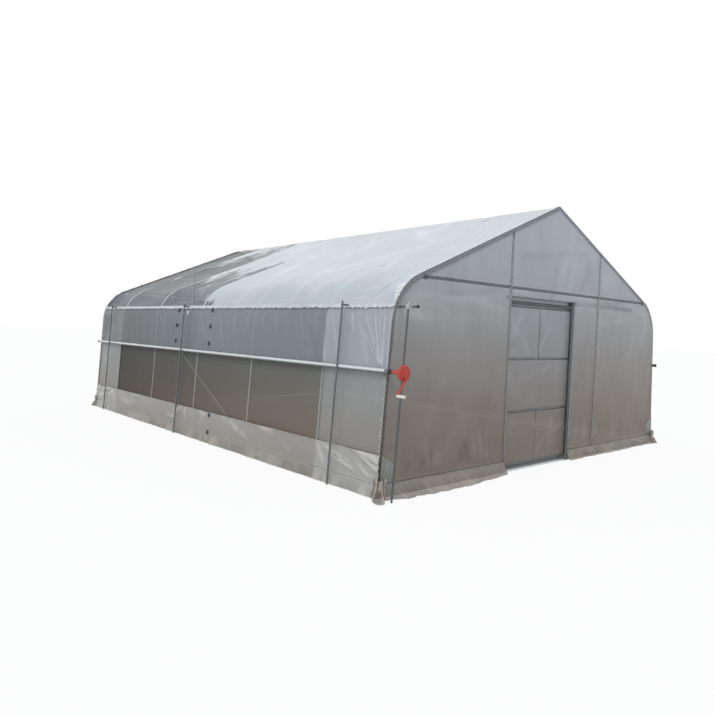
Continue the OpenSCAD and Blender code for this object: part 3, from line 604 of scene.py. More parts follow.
# The line along which the sheet was folded on its roll, halfway up each slope
roll_line = np.exp(-(((np.abs(w) - 1.58) / 0.022) ** 2)) * smooth(np.sin(y * 9) + np.sin(y * 23), -0.5, 0.8)
white = np.maximum(white, 0.35 * roll_line)
print("creases rise up to", round(float(pull.max()) * 1000), "mm")

# %% Roof sheet
ROOF_HEM = 0.06
# On a slope the film is measured from the ridge, so that both slopes meet there without a gap
x, z, nx, nz = section(s, out)
ridge = np.maximum(0, 1 - np.abs(w) / 0.02)
on_slope = s > LEG + ARC
x = np.where(on_slope, np.abs(w) * math.cos(SLOPE) + (out - FILM) * nx * (1 - ridge), x)
slope_z = RIDGE + FILM / math.cos(SLOPE) - np.abs(w) * math.sin(SLOPE) + (out - FILM) * nz
z = np.where(on_slope, slope_z, z)
touch = in_channel(np.minimum(from_eave, from_end))
grid = (w, y, np.stack((np.sign(w) * x, y, z), -1), touch, white)
roof_sheet = make_sheet("roof_sheet", [grid], (0, 0, 1), roof_finish, "house", ["roof_film"])
cut = (round(2 * reach + ROOF_HEM, 2), round(2 * END_BOW + ROOF_HEM, 2))

# %% [markdown]
# ## The sides
# A side has three layers. Against the bows lie a strip of film in each end bay and an insect net
# between them, both clamped between the base and the eave. Over them hangs the roll-up curtain, which
# a tube winds up from below. Its lower end goes round the tube a little more than once, so the tube
# shows white.

# %% Nets and end films
END_LEG = 2.95


def wall(name, side, y0, y1, finish, node_name, sag, seed):
    """A clamped sheet on one side, from the base channel to the eave channel and from y0 to y1."""
    s0, s1 = up_to(BASE_Z), EAVE_S
    s, y = np.meshgrid(lines(s0, s1, 0.032), lines(y0, y1, 0.032), indexing="ij")
    edge_y = np.minimum(y - y0, y1 - y)
    edge_s = np.minimum(s - s0, s1 - s)
    edge = np.minimum(edge_y, edge_s)
    over = np.maximum(over_channel(edge_s, -0.0006), over_channel(edge_y, -0.0006))
    free = smooth(edge, 0.03, 0.12)
    crease = creases(y, s, seed, int(14 * (y1 - y0)), (y0, y1, s0, s1), 1.3, 0.5, 0.3, 0.03, sag * 0.3)
    out = over + free * (np.clip(crease, -sag, 0.004) - sag * between_bows(y))
    white = free * np.clip(crease / sag, 0, 0.6)
    grid = (y, s, placed(side, s, y, out), in_channel(edge), white)
    sheet = make_sheet(name, [grid], (side, 0, 0.2), finish, "house", [node_name])


for side, hand in SIDES:
    for end, where in ENDS:
        y0, y1 = sorted((end * END_BOW, end * END_LEG))
        wall(f"{where}_{hand}_end_sheet", side, y0, y1, end_finish, "end_films", 0.005,
             20 + side + 3 * end)

# %% [markdown]
# ## Insect net
# The net is woven from polyethylene monofilament about 0.25 mm thick, some 50 threads to the inch one
# way and 25 the other. That is far too fine to show, so the finish draws a weave of 12 mm cells that
# only changes the tone a little. It passes air and a little sight, and looks dark beside the film.

# %% Weave and tone of the net
net_finish = emptied(bpy.data.materials.new("woven polyethylene monofilament net"))
at = add(net_finish, "TexCoord", out="Object")
split = add(net_finish, "SeparateXYZ", {0: at}, out=None)
rise = add(net_finish, "MapRange", {"Value": split["Z"], "From Min": 0.3, "From Max": 1.2})
tone = add(net_finish, "Mix", {"Factor": rise, 6: linear("#6a5b50"), 7: linear("#5a5c57")}, **COLOUR)
threads, rows = (add(net_finish, "TexWave", {"Vector": at, "Scale": 26.0, "Distortion": 0.4}, "Fac",
                     bands_direction=way) for way in "YZ")
weave = add(net_finish, "Math", {0: threads, 1: rows}, operation="MULTIPLY")
grain = add(net_finish, "MapRange", {"Value": weave, "To Min": 0.93, "To Max": 1.08})
# The net is drawn lighter towards the front and darker towards the rear
front_to_rear_tone = add(net_finish, "MapRange", {"Value": split["Y"], "From Min": -2.9, "From Max": 2.9,
                                     "To Min": 1.36, "To Max": 0.46})
grain = add(net_finish, "Math", {0: grain, 1: front_to_rear_tone}, operation="MULTIPLY")
cloth = add(net_finish, "VectorMath", {0: tone, "Scale": grain}, operation="SCALE")
print("threads are drawn", round(2 * math.pi / 20 / 26 * 1000), "mm apart")

# %% Pipes behind the net
# The net is drawn paler where it lies on the legs and the wind brace: their grey seen through it, lightened
# as painted light on the pipes
inner = add(net_finish, "Math", {0: split["Y"], 1: BAY / 2}, operation="PINGPONG")
leg = add(net_finish, "MapRange", {"Value": inner, "From Min": 0.011, "From Max": 0.019,
                                   "To Min": 0.8, "To Max": 0.0}, **SOFT)
sign = add(net_finish, "Math", {0: split["X"]}, operation="SIGN")
run = add(net_finish, "Math", {0: sign, 1: split["Y"]}, operation="MULTIPLY")
fall = add(net_finish, "Math", {0: run, 1: 0.515, 2: split["Z"]}, operation="MULTIPLY_ADD")
brace = add(net_finish, "Math", {0: fall, 1: 0.93}, operation="SUBTRACT")
brace = add(net_finish, "Math", {0: brace}, operation="ABSOLUTE")
brace = add(net_finish, "MapRange", {"Value": brace, "From Min": 0.007, "From Max": 0.016,
                                     "To Min": 0.38, "To Max": 0.0}, **SOFT)
reach = add(net_finish, "Math", {0: split["Y"]}, operation="ABSOLUTE")
reach = add(net_finish, "Math", {0: reach, 1: 1.47}, operation="LESS_THAN")
brace = add(net_finish, "Math", {0: brace, 1: reach}, operation="MULTIPLY")
pipes = add(net_finish, "Math", {0: leg, 1: brace}, operation="MAXIMUM")
cloth = add(net_finish, "Mix", {"Factor": pipes, 6: cloth, 7: linear("#9b9c99")}, **COLOUR)
bump = add(net_finish, "Bump", {"Height": weave, "Strength": 0.25, "Distance": 0.001})
shader = add(net_finish, "BsdfPrincipled", {"Base Color": cloth, "Roughness": 0.75, "Alpha": 0.93,
                                            "Normal": bump, "IOR": 1.5})
add(net_finish, "OutputMaterial", {"Surface": shader})
for side, hand in SIDES:
    wall(f"{hand}_net", side, -END_LEG, END_LEG, net_finish, "nets", 0.006, 40 + side)

# %% [markdown]
# ## Roll-up curtains
# The curtain is only held along the eave and by its tube, so it hangs freely over the legs. In the
# end bays, where the tube is turned, slanting folds run from the eave down to the tube. The sheet
# comes down on the inner side of the tube and goes once and a bit round it under the layers before.

# %% The curtain's own lines
TUBE_OUT, TUBE_R, TUBE_Z = 0.03815, 0.022, 1.245
TUBE_S = (TUBE_Z - TUBE_OUT * math.sin(LEAN)) / math.cos(LEAN)
DROP = EAVE_S - TUBE_S
CURTAIN_Y = 3.966
hang = lines(TUBE_S, EAVE_S, 0.022, low_channel=False)[::-1]
turns = np.linspace(0, 2.2 * math.pi, 30)[1:]
drop = np.concatenate((EAVE_S - hang, DROP + turns * TUBE_R))
# Grid lines stand closer in the end bays, where the folds are
END_Y = np.linspace(2.9, CURTAIN_Y, 130)
ALONG = np.concatenate((-END_Y[::-1], np.linspace(-2.9, 2.9, 291)[1:-1], END_Y))
# Slanting folds of an end bay: (place at the top, height there, width)
FOLDS = ((3.44, 1.74, 0.008), (3.55, 1.86, 0.010), (3.60, 1.84, 0.006), (3.70, 1.87, 0.011),
         (3.78, 1.85, 0.007), (3.86, 1.87, 0.010))
print("a curtain is", round(float(drop[-1]), 3), "m deep,", round(float(turns[-1] / 2 / math.pi), 1),
      "turns of it on the tube")

# %% Curtains
for side, hand in SIDES:
    d, y = np.meshgrid(drop, ALONG, indexing="ij")
    angle = np.maximum(0, d - DROP) / TUBE_R
    s = EAVE_S - np.minimum(d, DROP)
    hung = smooth(d / DROP, 0.05, 0.2) * (1 - smooth(d / DROP, 0.86, 1.0))
    slant = creases(y, s, 51 + side, 60, (-3.9, 3.9, 1.3, 1.85), 1.35, 0.3, 0.28, 0.03, 0.005)
    for end in (-1, 1):
        for top, level, width in FOLDS:
            foot_y = 3.88 + 0.02 * math.sin(30 * top)
            slant += 0.015 * fold_between(y, s, (end * top, level), (end * foot_y, 1.27), width)
        slant += 0.010 * fold_between(y, s, (end * 3.35, 1.86), (end * 3.42, 1.62), 0.009)
        slant += 0.012 * fold_between(y, s, (end * 2.62, 1.42), (end * 2.74, 1.25), 0.010)
    out = np.maximum(over_channel(d, 0.0012), 0.0149 * smooth(d, 0.012, 0.03))
    out = out + hung * np.clip(slant, 0, 0.02) + bunching(y, d, 55 + side, 0.07, 0.0012)
    slack = np.clip(0.0012 * np.sin(y * 9) + 0.0008 * np.sin(y * 23 + 1), 0, 0.002)
    round_r = TUBE_R + 0.0015 - 0.0009 * angle / (2 * math.pi) + slack * np.clip(angle, 0, 1)
    out = np.where(angle > 0, TUBE_OUT - round_r * np.cos(angle), out)
    s = np.where(angle > 0, TUBE_S - round_r * np.sin(angle), s)
    grid = (y, d, placed(side, s, y, out), in_channel(d), hung * np.clip(slant / 0.014, 0, 1))
    curtain = make_sheet(f"{hand}_curtain", [grid], (side, 0, 0.2), curtain_finish, "house", ["curtains"])
    curtain.data.materials.append(rolled_finish)
    uv = curtain.data.uv_layers[0].data
    for face in curtain.data.polygons:
        depth = min(uv[k].uv[1] for k in face.loop_indices)
        face.material_index = int(depth > DROP - 0.012)

# %% [markdown]
# ## The gables
# Each gable is covered by upright sheets, clamped down the posts and along the base, and wrapped over
# the end bow into its channel. An outer panel has four sides, and two of them are curved: the leg with
# half of the shoulder, and the rafter with the other half. A Coons patch fills such a shape evenly: it
# blends the two pairs of opposite edges and takes away what it counted twice.

# %% Gable lines
GABLE_Y = END_BOW + PIPE + REST
SHOULDER_S = LEG + ARC * 0.55
JAMB_X, LEFT_POST, RIGHT_POST, REAR_POST = 0.462, -0.974, 1.094, 1.03
# The flat of a gable sheet ends 2.5 mm inside the outer line of the end bow
INSET = 0.0025
# How far ahead and how far out the film lies as it wraps over the end bow into the channel
WRAP_Y = np.array((GABLE_Y + 0.003, GABLE_Y + 0.0032, GABLE_Y + 0.0024, 3.9625, 3.9595, 3.9583, 3.9555))
WRAP_OUT = np.array((-INSET, 0.0085, 0.0126, 0.0142, 0.0142, 0.0105, 0.0046))


def above_shoulder(z):
    """0 along a leg and 1 along a rafter."""
    return smooth(z, 1.8, 1.95)


def pipe_lines(values):
    """The same grid lines, with closer ones over the 32 mm pipe at their high end."""
    close = values[-1] - np.array((0.044, 0.036, 0.028, 0.018, 0.008, 0.0))
    return np.concatenate((values[values < values[-1] - 0.05], close))


def wrap(curve_s, side, end):
    """The strip of film that goes from the gable over the edge of the end bow into its channel."""
    s, k = np.meshgrid(curve_s, np.arange(len(WRAP_Y)), indexing="ij")
    ahead, rise = WRAP_Y[k], WRAP_OUT[k]
    x, z, _, _ = section(s, rise)
    near_ridge = np.clip((TOTAL - s) * math.cos(SLOPE), 0, None)
    x = np.where(s > TOTAL - 0.05, np.minimum(x, near_ridge + rise * math.sin(SLOPE)), x)
    # Along the legs the strip is more opaque and its fold value is below zero, so it carries painted shade
    leg = 1 - smooth(s, LEG - 0.1, LEG + 0.1)
    return s, ahead, np.stack((side * x, end * ahead, z), -1), 0.85 - 0.45 * leg, -leg


print("gable film lies at y", round(GABLE_Y, 4), "and wraps in", len(WRAP_Y), "steps")

# %% Gable skin
def gable_skin(x, z, clamp, held, end, seed, fold_line=None):
    """y of a gable panel and its fold value, for its creases and its painted shade: over its channels where
    clamp is small, else wrinkled.

    held is the distance from the back of the end bow, and fold_line = (x0, z0, x1, z1) is a fold that
    the panel had when it was packed."""
    sink = 0.004
    free = smooth(np.minimum(clamp, held), 0.03, 0.15)
    x0, x1, z0, z1 = box = [float(v) for v in (x.min(), x.max(), z.min(), z.max())]
    count, low_count = int(5 * (x1 - x0) * (z1 - z0)) + 3, int(9 * (x1 - x0)) + 3
    rise = creases(x, z, seed, count, box, 1.35, 0.5, 0.4, 0.06, 0.0016)
    rise += creases(x, z, seed + 1, low_count, (x0, x1, 0.10, 0.40), 1.5, 0.35, 0.16, 0.028, 0.006)
    rise += creases(x, z, seed + 2, 3, (x0, x1, 1.85, 2.2), 0.1, 0.08, 0.5, 0.03, 0.004)
    # The film is drawn paler on its crests and darker in its hollows, where the darkening is painted shade
    white = rise / 0.007
    if fold_line:
        x0, z0, x1, z1 = fold_line
        below = z0 + (z1 - z0) * (x - x0) / (x1 - x0) + 0.008 * np.sin(x * 7) - z
        along = smooth(x, x0, x0 + 0.25) * (1 - smooth(x, x1 - 0.35, x1))
        rise += 0.005 * along * np.exp(-((below / 0.045) ** 2))
        # Below the packed fold the film is drawn darker: painted shade under the ridge
        white -= 0.24 * along * np.exp(-(((below - 0.012) / 0.030) ** 2))
    fold = bunching(x, z - BASE_Z, seed + 3, 0.08, 0.0013)
    out = over_channel(clamp) + free * np.clip(rise - sink, -0.016, 0.012) + np.where(held > 0.05, fold, 0)
    # A line of shade under the end bow's rafter, and another on the outer edge of its leg
    above = above_shoulder(z)
    shade = -0.85 * above * np.exp(-(((held - 0.037) / 0.010) ** 2)) - (held < 0.016) * (1 - above)
    return end * (GABLE_Y + out), free * np.clip(white, -0.5, 0.5) + shade


def gable_sheet(name, end, grids, node_names):
    """A finished gable panel from its grids, in the finish of its end."""
    finish = gable_finish if end < 0 else rear_finish
    sheet = make_sheet(name, grids, (0, end, 0), finish, "house", node_names)


# %% Outer panels
def coons(u, v, low, high, left, right):
    """A grid of numbers that meets four edge lines: low and high along u, left and right along v."""
    corners = (1 - u) * (1 - v) * low[0] + u * (1 - v) * low[-1] + (1 - u) * v * high[0] + u * v * right[-1]
    return (1 - v) * low[:, None] + v * high[:, None] + (1 - u) * left[None, :] + u * right[None, :] - corners


def outer_panel(name, side, end, post_x, node_names, seed):
    """The sheet between a gable post and the leg and rafter outside it."""
    s_low = up_to(BASE_Z)
    s_top = TOTAL - post_x / math.cos(SLOPE)
    foot = section(s_low, -INSET)[0]
    up_line = (pipe_lines(lines(BASE_Z, 2.0, 0.023, high_channel=False)) - BASE_Z) / (2.0 - BASE_Z)
    across = (pipe_lines(lines(post_x, foot, 0.026, high_channel=False)) - post_x) / (foot - post_x)
    u, v = np.meshgrid(across, up_line, indexing="ij")
    right_s, top_s = s_low + (SHOULDER_S - s_low) * up_line, s_top + (SHOULDER_S - s_top) * across
    right_x, right_z, _, _ = section(right_s, -INSET)
    top_x, top_z, _, _ = section(top_s, -INSET)
    low_x, post = post_x + (foot - post_x) * across, np.full_like(up_line, post_x)
    x = coons(u, v, low_x, top_x, post, right_x)
    low_z, post_z = np.full_like(across, BASE_Z), BASE_Z + (top_z[0] - BASE_Z) * up_line
    z = coons(u, v, low_z, top_z, post_z, right_z)
    clamp = np.minimum(x - post_x, z - BASE_Z)
    # The bow's back is the nearest of the leg's line, the rafter's line and the shoulder's circle
    held = np.minimum(FOOT - z * math.tan(LEAN) - x, (RIDGE - x * math.tan(SLOPE) - z) * math.cos(SLOPE))
    round_angle = np.arctan2(z - BEND_Z, x - BEND_X)
    off_circle = 10.0 * ((round_angle < LEAN) | (round_angle > LEAN + TURN) | (z < BEND_Z))
    held = np.minimum(held, BEND - np.hypot(x - BEND_X, z - BEND_Z) + off_circle)
    packed_fold = (post_x + 0.05, 2.17, 2.55, 2.01)
    y, white = gable_skin(x, z, clamp, np.maximum(held, 0), end, seed, packed_fold)
    above = above_shoulder(z)
    on_bow = 0.85 * above * (1 - smooth(held, 0.024, 0.040)) + 0.4 * (1 - above) * (held < 0.016)
    touch = np.maximum(in_channel(clamp), on_bow)
    grids = [(u * (foot - post_x), z, np.stack((side * x, y, z), -1), touch, white)]
    grids += [wrap(curve, side, end) for curve in (right_s, top_s)]
    gable_sheet(name, end, grids, node_names)


outer_panel("front_left_gable_sheet", -1, -1, -LEFT_POST, ["front_film_left"], 70)
outer_panel("front_right_gable_sheet", 1, -1, RIGHT_POST, ["front_film_right"], 80)
outer_panel("rear_left_gable_sheet", -1, 1, REAR_POST, ["rear_film"], 90)
outer_panel("rear_right_gable_sheet", 1, 1, REAR_POST, ["rear_film"], 100)

# %% [markdown]
# ## Middle sheets
# Between the posts a panel is laid out in upright columns that end on the rafters, with one column
# exactly under the ridge. Over the door it ends in a plain hem that laps 15 mm over the sheet beside
# the door.

# %% Middle panels
def middle_panel(name, end, x0, x1, z0, node_names, seed, base, fold_line=None):
    """A sheet from post to post and from z0 up to the rafters; base says that a channel holds its foot."""
    left, rightward = (lines(0, reach, 0.034, low_channel=False) for reach in (-x0, x1))
    columns = np.concatenate((-left[:0:-1], rightward))
    top = RIDGE - INSET - np.abs(columns) * math.tan(SLOPE)
    climb = (pipe_lines(lines(z0, 2.9, 0.034, low_channel=base, high_channel=False)) - z0) / (2.9 - z0)
    x, f = np.meshgrid(columns, climb, indexing="ij")
    z = z0 + (top[:, None] - z0) * f
    clamp = np.minimum(np.minimum(x - x0, x1 - x), z - z0 if base else 10)
    held = (RIDGE - np.abs(x) * math.tan(SLOPE) - z) * math.cos(SLOPE)
    y, white = gable_skin(x, z, clamp, np.maximum(held, 0), end, seed, fold_line)
    if not base:
        # The hem lies over the sheet beside the door
        y = y + end * 0.0012 * (1 - smooth(z - z0, 0.02, 0.05))
    touch = np.maximum(in_channel(clamp), 0.85 * (1 - smooth(held, 0.024, 0.040)))
    grids = [(x, z, np.stack((x, y, z), -1), touch, white)]
    grids += [wrap(TOTAL - half / math.cos(SLOPE), side, end) for side, half in ((-1, left), (1, rightward))]
    gable_sheet(name, end, grids, node_names)


middle_panel("front_middle_gable_sheet", -1, LEFT_POST, RIGHT_POST, 2.10, ["front_film_over_door"], 110,
             False, (-0.96, 2.58, 0.98, 2.83))
middle_panel("rear_middle_gable_sheet", 1, -REAR_POST, REAR_POST, BASE_Z, ["rear_film"], 120, True)

# %% Sheet beside the door
columns, heights = lines(JAMB_X, RIGHT_POST, 0.032), lines(BASE_Z, 2.115, 0.032, high_channel=False)
x, z = np.meshgrid(columns, heights, indexing="ij")
clamp = np.minimum(np.minimum(x - JAMB_X, RIGHT_POST - x), z - BASE_Z)
y, white = gable_skin(x, z, clamp, 10 + 0 * x, -1, 130)
grid = (x, z, np.stack((x, y, z), -1), in_channel(clamp), white)
beside = make_sheet("beside_door_sheet", [grid], (0, -1, 0), gable_finish, "house",
                    ["front_film_beside_door"])

# %% [markdown]
# ## Door sheet
# The leaf is covered on its outside by one stretched sheet, turned round the frame and clipped at the
# back. It is clear where it lies on the rails, so its own finish draws the bands on the rails' lines.
# The sheet rides on the door leaf, so it slides with it.

# %% Door film finish
LEAF_X, RAILS, MULLION_X = (-0.9775, 0.4675), (0.0725, 0.715, 1.356, 1.9925), -0.255
leaf_bars = [("X", x, 0.0125, 0.12, 1.0, "Z", 0.0, 3.0) for x in LEAF_X]
leaf_bars += [("Z", z, 0.0125, 0.12, 1.0, "X", -2.0, 2.0) for z in RAILS]
leaf_bars += [("X", MULLION_X, 0.010, 0.12, 1.0, "Z", z - 0.64, z) for z in (RAILS[1], RAILS[3])]
door_finish = film("blown polythene film, door", "#7c7168", "#9a9fa5", 0.2, 2.4, 0.92, 0.9, bars=leaf_bars)
print("door bars:", len(leaf_bars))

# %% Door sheet
LEAF_LOW, LEAF_HIGH, LEAF_FACE = (-0.990, 0.060), (0.480, 2.005), -3.9185


def turned_lines(low, high, count):
    """Grid lines over the leaf, with two at each edge, where the sheet is turned to the back."""
    middle = np.linspace(low + 0.004, high - 0.004, count)
    return np.concatenate(([low - 0.001] * 2, middle, [high + 0.001] * 2))


x_lines = turned_lines(LEAF_LOW[0], LEAF_HIGH[0], 48)
z_lines = turned_lines(LEAF_LOW[1], LEAF_HIGH[1], 64)
x, z = np.meshgrid(x_lines, z_lines, indexing="ij")
back = np.full_like(x, 0.014)
back[1:-1, 1:-1] = 0
rails = np.min([np.abs(x - bar) for bar in LEAF_X] + [np.abs(z - rail) for rail in RAILS], axis=0)
slack = smooth(rails, 0.02, 0.12)
rise = creases(x, z, 140, 26, (-0.9, 0.4, 0.1, 1.95), 1.3, 0.5, 0.25, 0.03, 0.0035)
y = LEAF_FACE - 0.0022 + back + slack * (0.003 + np.clip(rise, -0.004, 0.004))
grid = (x, z, np.stack((x, y, z), -1), 0, slack * np.clip(rise / 0.006, 0, 0.5))
door_sheet = make_sheet("door_sheet", [grid], (0, -1, 0), door_finish, "door_leaf", ["door_film"])

# %% [markdown]
# ## Skirts
# Along the sides a skirt of film stands 0.42 m up over the net and the end films, to keep the draught
# and the rain out under the curtain. It goes into the base channel and then on down to the ground,
# where the spare width lies outward in loose folds. The gables have only the lower part. Soft folds
# cross the side skirts, and near the corners they run together to where the film was gathered.

# %% The lower part of a skirt
SKIRT_Z, SKIRT_OUT = 0.425, 0.0149
DOWN_Z = np.array((0.1270, 0.1232, 0.1213, 0.1207, 0.1157, 0.1120, 0.1000, 0.0820, 0.0640, 0.0480, 0.0340,
                   0.0220, 0.0120, 0.0050, 0.0022))


def apron(along, z, reach, seed):
    """How far out a skirt's lower part lies, from the base channel down to the ground, and its folds."""
    fall = 1 - np.clip(z / 0.114, 0, 1)
    rng = np.random.default_rng(seed)
    wave = sum(a * np.sin(along * 2 * math.pi / p + rng.uniform(0, 6) + 2 * np.sin(along * 1.7))
               for a, p in ((0.08, 0.071), (0.16, 0.17), (0.3, 0.41), (0.4, 0.97)))
    box = (float(along.min()), float(along.max()), 0.0, 0.12)
    wave += creases(along, z, seed, int(8 * (box[1] - box[0])), box, 1.5, 0.7, 0.09, 0.013, 1.3)
    wave = np.clip(wave, -1.3, 1.8)
    reach = reach * (1 + np.minimum(0.22, 0.02 / reach) * wave)
    over = over_channel(np.abs(z - BASE_Z), 0.0012)
    below = SKIRT_OUT + (reach - SKIRT_OUT) * fall ** 1.4 + 0.010 * wave * fall ** 0.8
    # The fold value makes the film paler on crests and darker in hollows, where the darkening is painted
    # shade
    return np.where(z > 0.1125, over, below), np.clip(wave * 1.2 - 0.35, -0.6, 1) * fall ** 0.5 * 0.9


print("a skirt comes down in", len(DOWN_Z), "steps below its channel")

# %% Side skirts
tall = np.concatenate((np.linspace(SKIRT_Z, 0.156, 22), BASE_Z + MOUTH_D[:0:-1]))
z, y = np.meshgrid(np.concatenate((tall, [BASE_Z], DOWN_Z)), ALONG, indexing="ij")
standing = smooth(z, 0.16, 0.22)
lip = 0.004 * smooth(z, 0.39, SKIRT_Z) * (1 + np.sin(y * 7) * np.sin(y * 2.3))
for side, hand in SIDES:
    soft = creases(y, z, 151 + side, 60, (-3.9, 3.9, 0.15, 0.45), 0.5, 0.5, 0.22, 0.032, 0.014)
    for end in (-1, 1):
        box = sorted((end * 3.3, end * 3.9)) + [0.15, 0.42]
        soft += creases(y, z, 156 + end, 26, box, end * -0.36, 0.22, 0.34, 0.015, 0.017)
    over = np.where(z > 0.148, SKIRT_OUT, over_channel(z - BASE_Z, 0.0012))
    upper = over + standing * np.clip(soft, 0, 0.026) + lip
    lower, lower_white = apron(y, z, 0.040, 160 + side)
    out = np.where(z >= BASE_Z, upper, lower)
    white = np.where(z >= BASE_Z, standing * np.clip(soft / 0.018, 0, 1), lower_white)
    x = FOOT - z * math.tan(LEAN) + out * math.cos(LEAN)
    points = np.stack((side * x, y, z + out * math.sin(LEAN)), -1)
    grid = (y, z, points, in_channel(z - BASE_Z), white)
    skirt = make_sheet(f"{hand}_skirt", [grid], (side, 0, 0), skirt_finish, "house", ["side_skirts"])

# %% Gable skirts
def gable_apron(name, x0, x1, end, seed):
    """The part of a gable's film below its base channel."""
    heights = np.concatenate((BASE_Z + MOUTH_D[3:0:-1], [BASE_Z], DOWN_Z))
    z, x = np.meshgrid(heights, np.linspace(x0, x1, max(8, round((x1 - x0) / 0.012))), indexing="ij")
    # More film is spare towards the corners with the winches
    reach = 0.055 + 0.115 * smooth(end * x, 0.3, 2.0) - 0.070 * smooth(end * x, 2.7, 2.98)
    out, white = apron(x, z, reach, seed)
    grid = (x, z, np.stack((x, end * (GABLE_Y + out), z), -1), in_channel(z - BASE_Z), white)
    skirt = make_sheet(name, [grid], (0, end, 0), apron_finish, "house", ["gable_skirts"])


gable_apron("front_left_apron", -2.985, -0.960, -1, 171)
gable_apron("front_right_apron", 0.448, 2.985, -1, 173)
gable_apron("rear_apron", -2.985, 2.985, 1, 175)

# %% [markdown]
# ## Gathered corners
# At each corner of the house the side skirt goes on round the foot of the bow and laps a hand's breadth
# over the gable. Below, the spare film of both skirts is folded together, tied, and left as a bunch: one
# sheet that goes round the corner with deep pleats, narrow where it is tied and wide on the ground.

# %% Laps
def skirt_lap(where, hand, side, end):
    """The strip of a side skirt that laps over the gable at one corner."""
    f, g = np.meshgrid(np.linspace(0, 1, 22), np.linspace(0, 1, 26), indexing="ij")
    across = f * (0.195 - 0.018 * g + 0.004 * np.sin(g * 9))
    z = 0.158 + (0.262 - 0.095 * f) * g
    x = FOOT - z * math.tan(LEAN) + 0.004 - across
    folds = creases(across, z, 190 + side + 3 * end, 7, (0, 0.18, 0.15, 0.42), 0.9, 0.4, 0.12, 0.014, 0.004)
    out = 0.0045 + 0.010 * (1 - smooth(across, 0.0, 0.05))
    out = out + np.clip(folds, 0, 0.008) * smooth(across, 0.01, 0.05)
    points = np.stack((side * x, end * (GABLE_Y + out), z), -1)
    grid = (across, g * 0.26, points, 0, np.clip(folds / 0.007, 0, 0.6))
    lap = make_sheet(f"{where}_{hand}_skirt_lap", [grid], (0, end, 0), lap_finish, "house", [])


print("laps stand over the gable film by 4 to 15 mm")

# %% Bunches
def hump(value, middle, width):
    """1 at the middle and falling off softly on both sides."""
    return np.exp(-(((value - middle) / width) ** 2))


def corner_bunch(where, hand, side, end):
    """The gathered film at one corner; t goes round the corner and f down to the ground."""
    by_winch = side == end
    phases = np.random.default_rng(180 + side + 3 * end).uniform(0, 6, 3)
    t, f = np.meshgrid(np.linspace(-0.35, 1.3, 120), np.linspace(0, 1, 24), indexing="ij")
    a = t * math.pi / 2
    pleat = 0.55 * np.sin(a * 9 + phases[0]) + 0.35 * np.sin(a * 17 + phases[1] + 2 * f)
    pleat = pleat + 0.2 * np.sin(a * 31 + phases[2])
    tied = hump(f, 0.36, 0.15)
    lobe = (0.185 if by_winch else 0.070) * hump(t, 0.52, 0.29)
    r = 0.050 + (0.030 + lobe) * f ** 1.6 + 0.030 * (1 - f) - 0.012 * tied + (0.015 - 0.008 * tied) * pleat
    z = 0.192 * (1 - f) ** 1.15 + 0.003 + 0.014 * np.sin(a * 5 + phases[1]) * (1 - f)
    z = z + 0.03 * np.clip(pleat, 0, 1) * f * (1 - f)
    # The open end of the bunch is drawn dark inside its paler rim: painted shade in its hollow
    inside = 2.2 * hump(t, 0.5, 0.16) * smooth(f, 0.35, 0.55) * (1 - smooth(f, 0.86, 0.97))
    x, y = 2.968 - z * math.tan(LEAN) + r * np.cos(a) * 0.95, 3.944 + r * np.sin(a)
    # The pleats are drawn pale on their crests and dark in their troughs: painted highlight and painted shade
    white = np.clip(0.35 + pleat * 1.9 - inside, -1.2, 1.4)
    grid = (a * 0.07, f * 0.18, np.stack((side * x, end * y, z), -1), 0, white)
    bunch = make_sheet(f"{where}_{hand}_corner_bunch", [grid], (side, end, 0), apron_finish, "house",
                       ["side_skirts"])
    print("  it has", round(sum(face.area for face in bunch.data.polygons), 3), "square metres of film")


for side, hand in SIDES:
    for end, where in ENDS:
        skirt_lap(where, hand, side, end)
        corner_bunch(where, hand, side, end)

# %% [markdown]
# ## Galvanised pipe and channel
# The pipes are hot-dip galvanised steel tube. Zinc freezes in grains called spangle, 7 to 12 mm across,
# each reflecting a little differently, and it dulls to a blue-grey within a year. The channels are
# roll-formed from galvanised strip, so they are smoother and have the finest grain. Voronoi cells draw
# the spangle, and they change only the tone and the roughness of a metal.

# %% Zinc finishes
def zinc(name, dark, light, rough, cell):
    """Galvanised steel: cell is the size of one grain of spangle in metres."""
    material = emptied(bpy.data.materials.new(name))
    at = add(material, "TexCoord", out="Object")
    grain = add(material, "TexVoronoi", {"Vector": at, "Scale": 1 / cell, "Randomness": 1.0}, "Color")
    grey = add(material, "SeparateColor", {0: grain}, out=None)
    age = add(material, "TexNoise", {"Vector": at, "Scale": 3.0, "Detail": 4.0}, "Fac")
    both = add(material, "Math", {0: grey[0], 1: age}, operation="MULTIPLY")
    tone = add(material, "Mix", {"Factor": both, 6: linear(dark), 7: linear(light)}, **COLOUR)
    dull = add(material, "MapRange", {"Value": grey[1], "To Min": rough - 0.07, "To Max": rough + 0.08})
    bump = add(material, "Bump", {"Height": age, "Strength": 0.05, "Distance": 0.001})
    shader = add(material, "BsdfPrincipled", {"Base Color": tone, "Metallic": 1.0, "Roughness": dull,
                                              "Normal": bump})
    add(material, "OutputMaterial", {"Surface": shader})
    return material


def finish_nodes(material, *names):
    """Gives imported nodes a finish, in place of the plain colour they came with."""
    for name in names:
        for slot in nodes[name].material_slots:
            slot.material = material
    print(material.name, "on", len(names), "nodes")


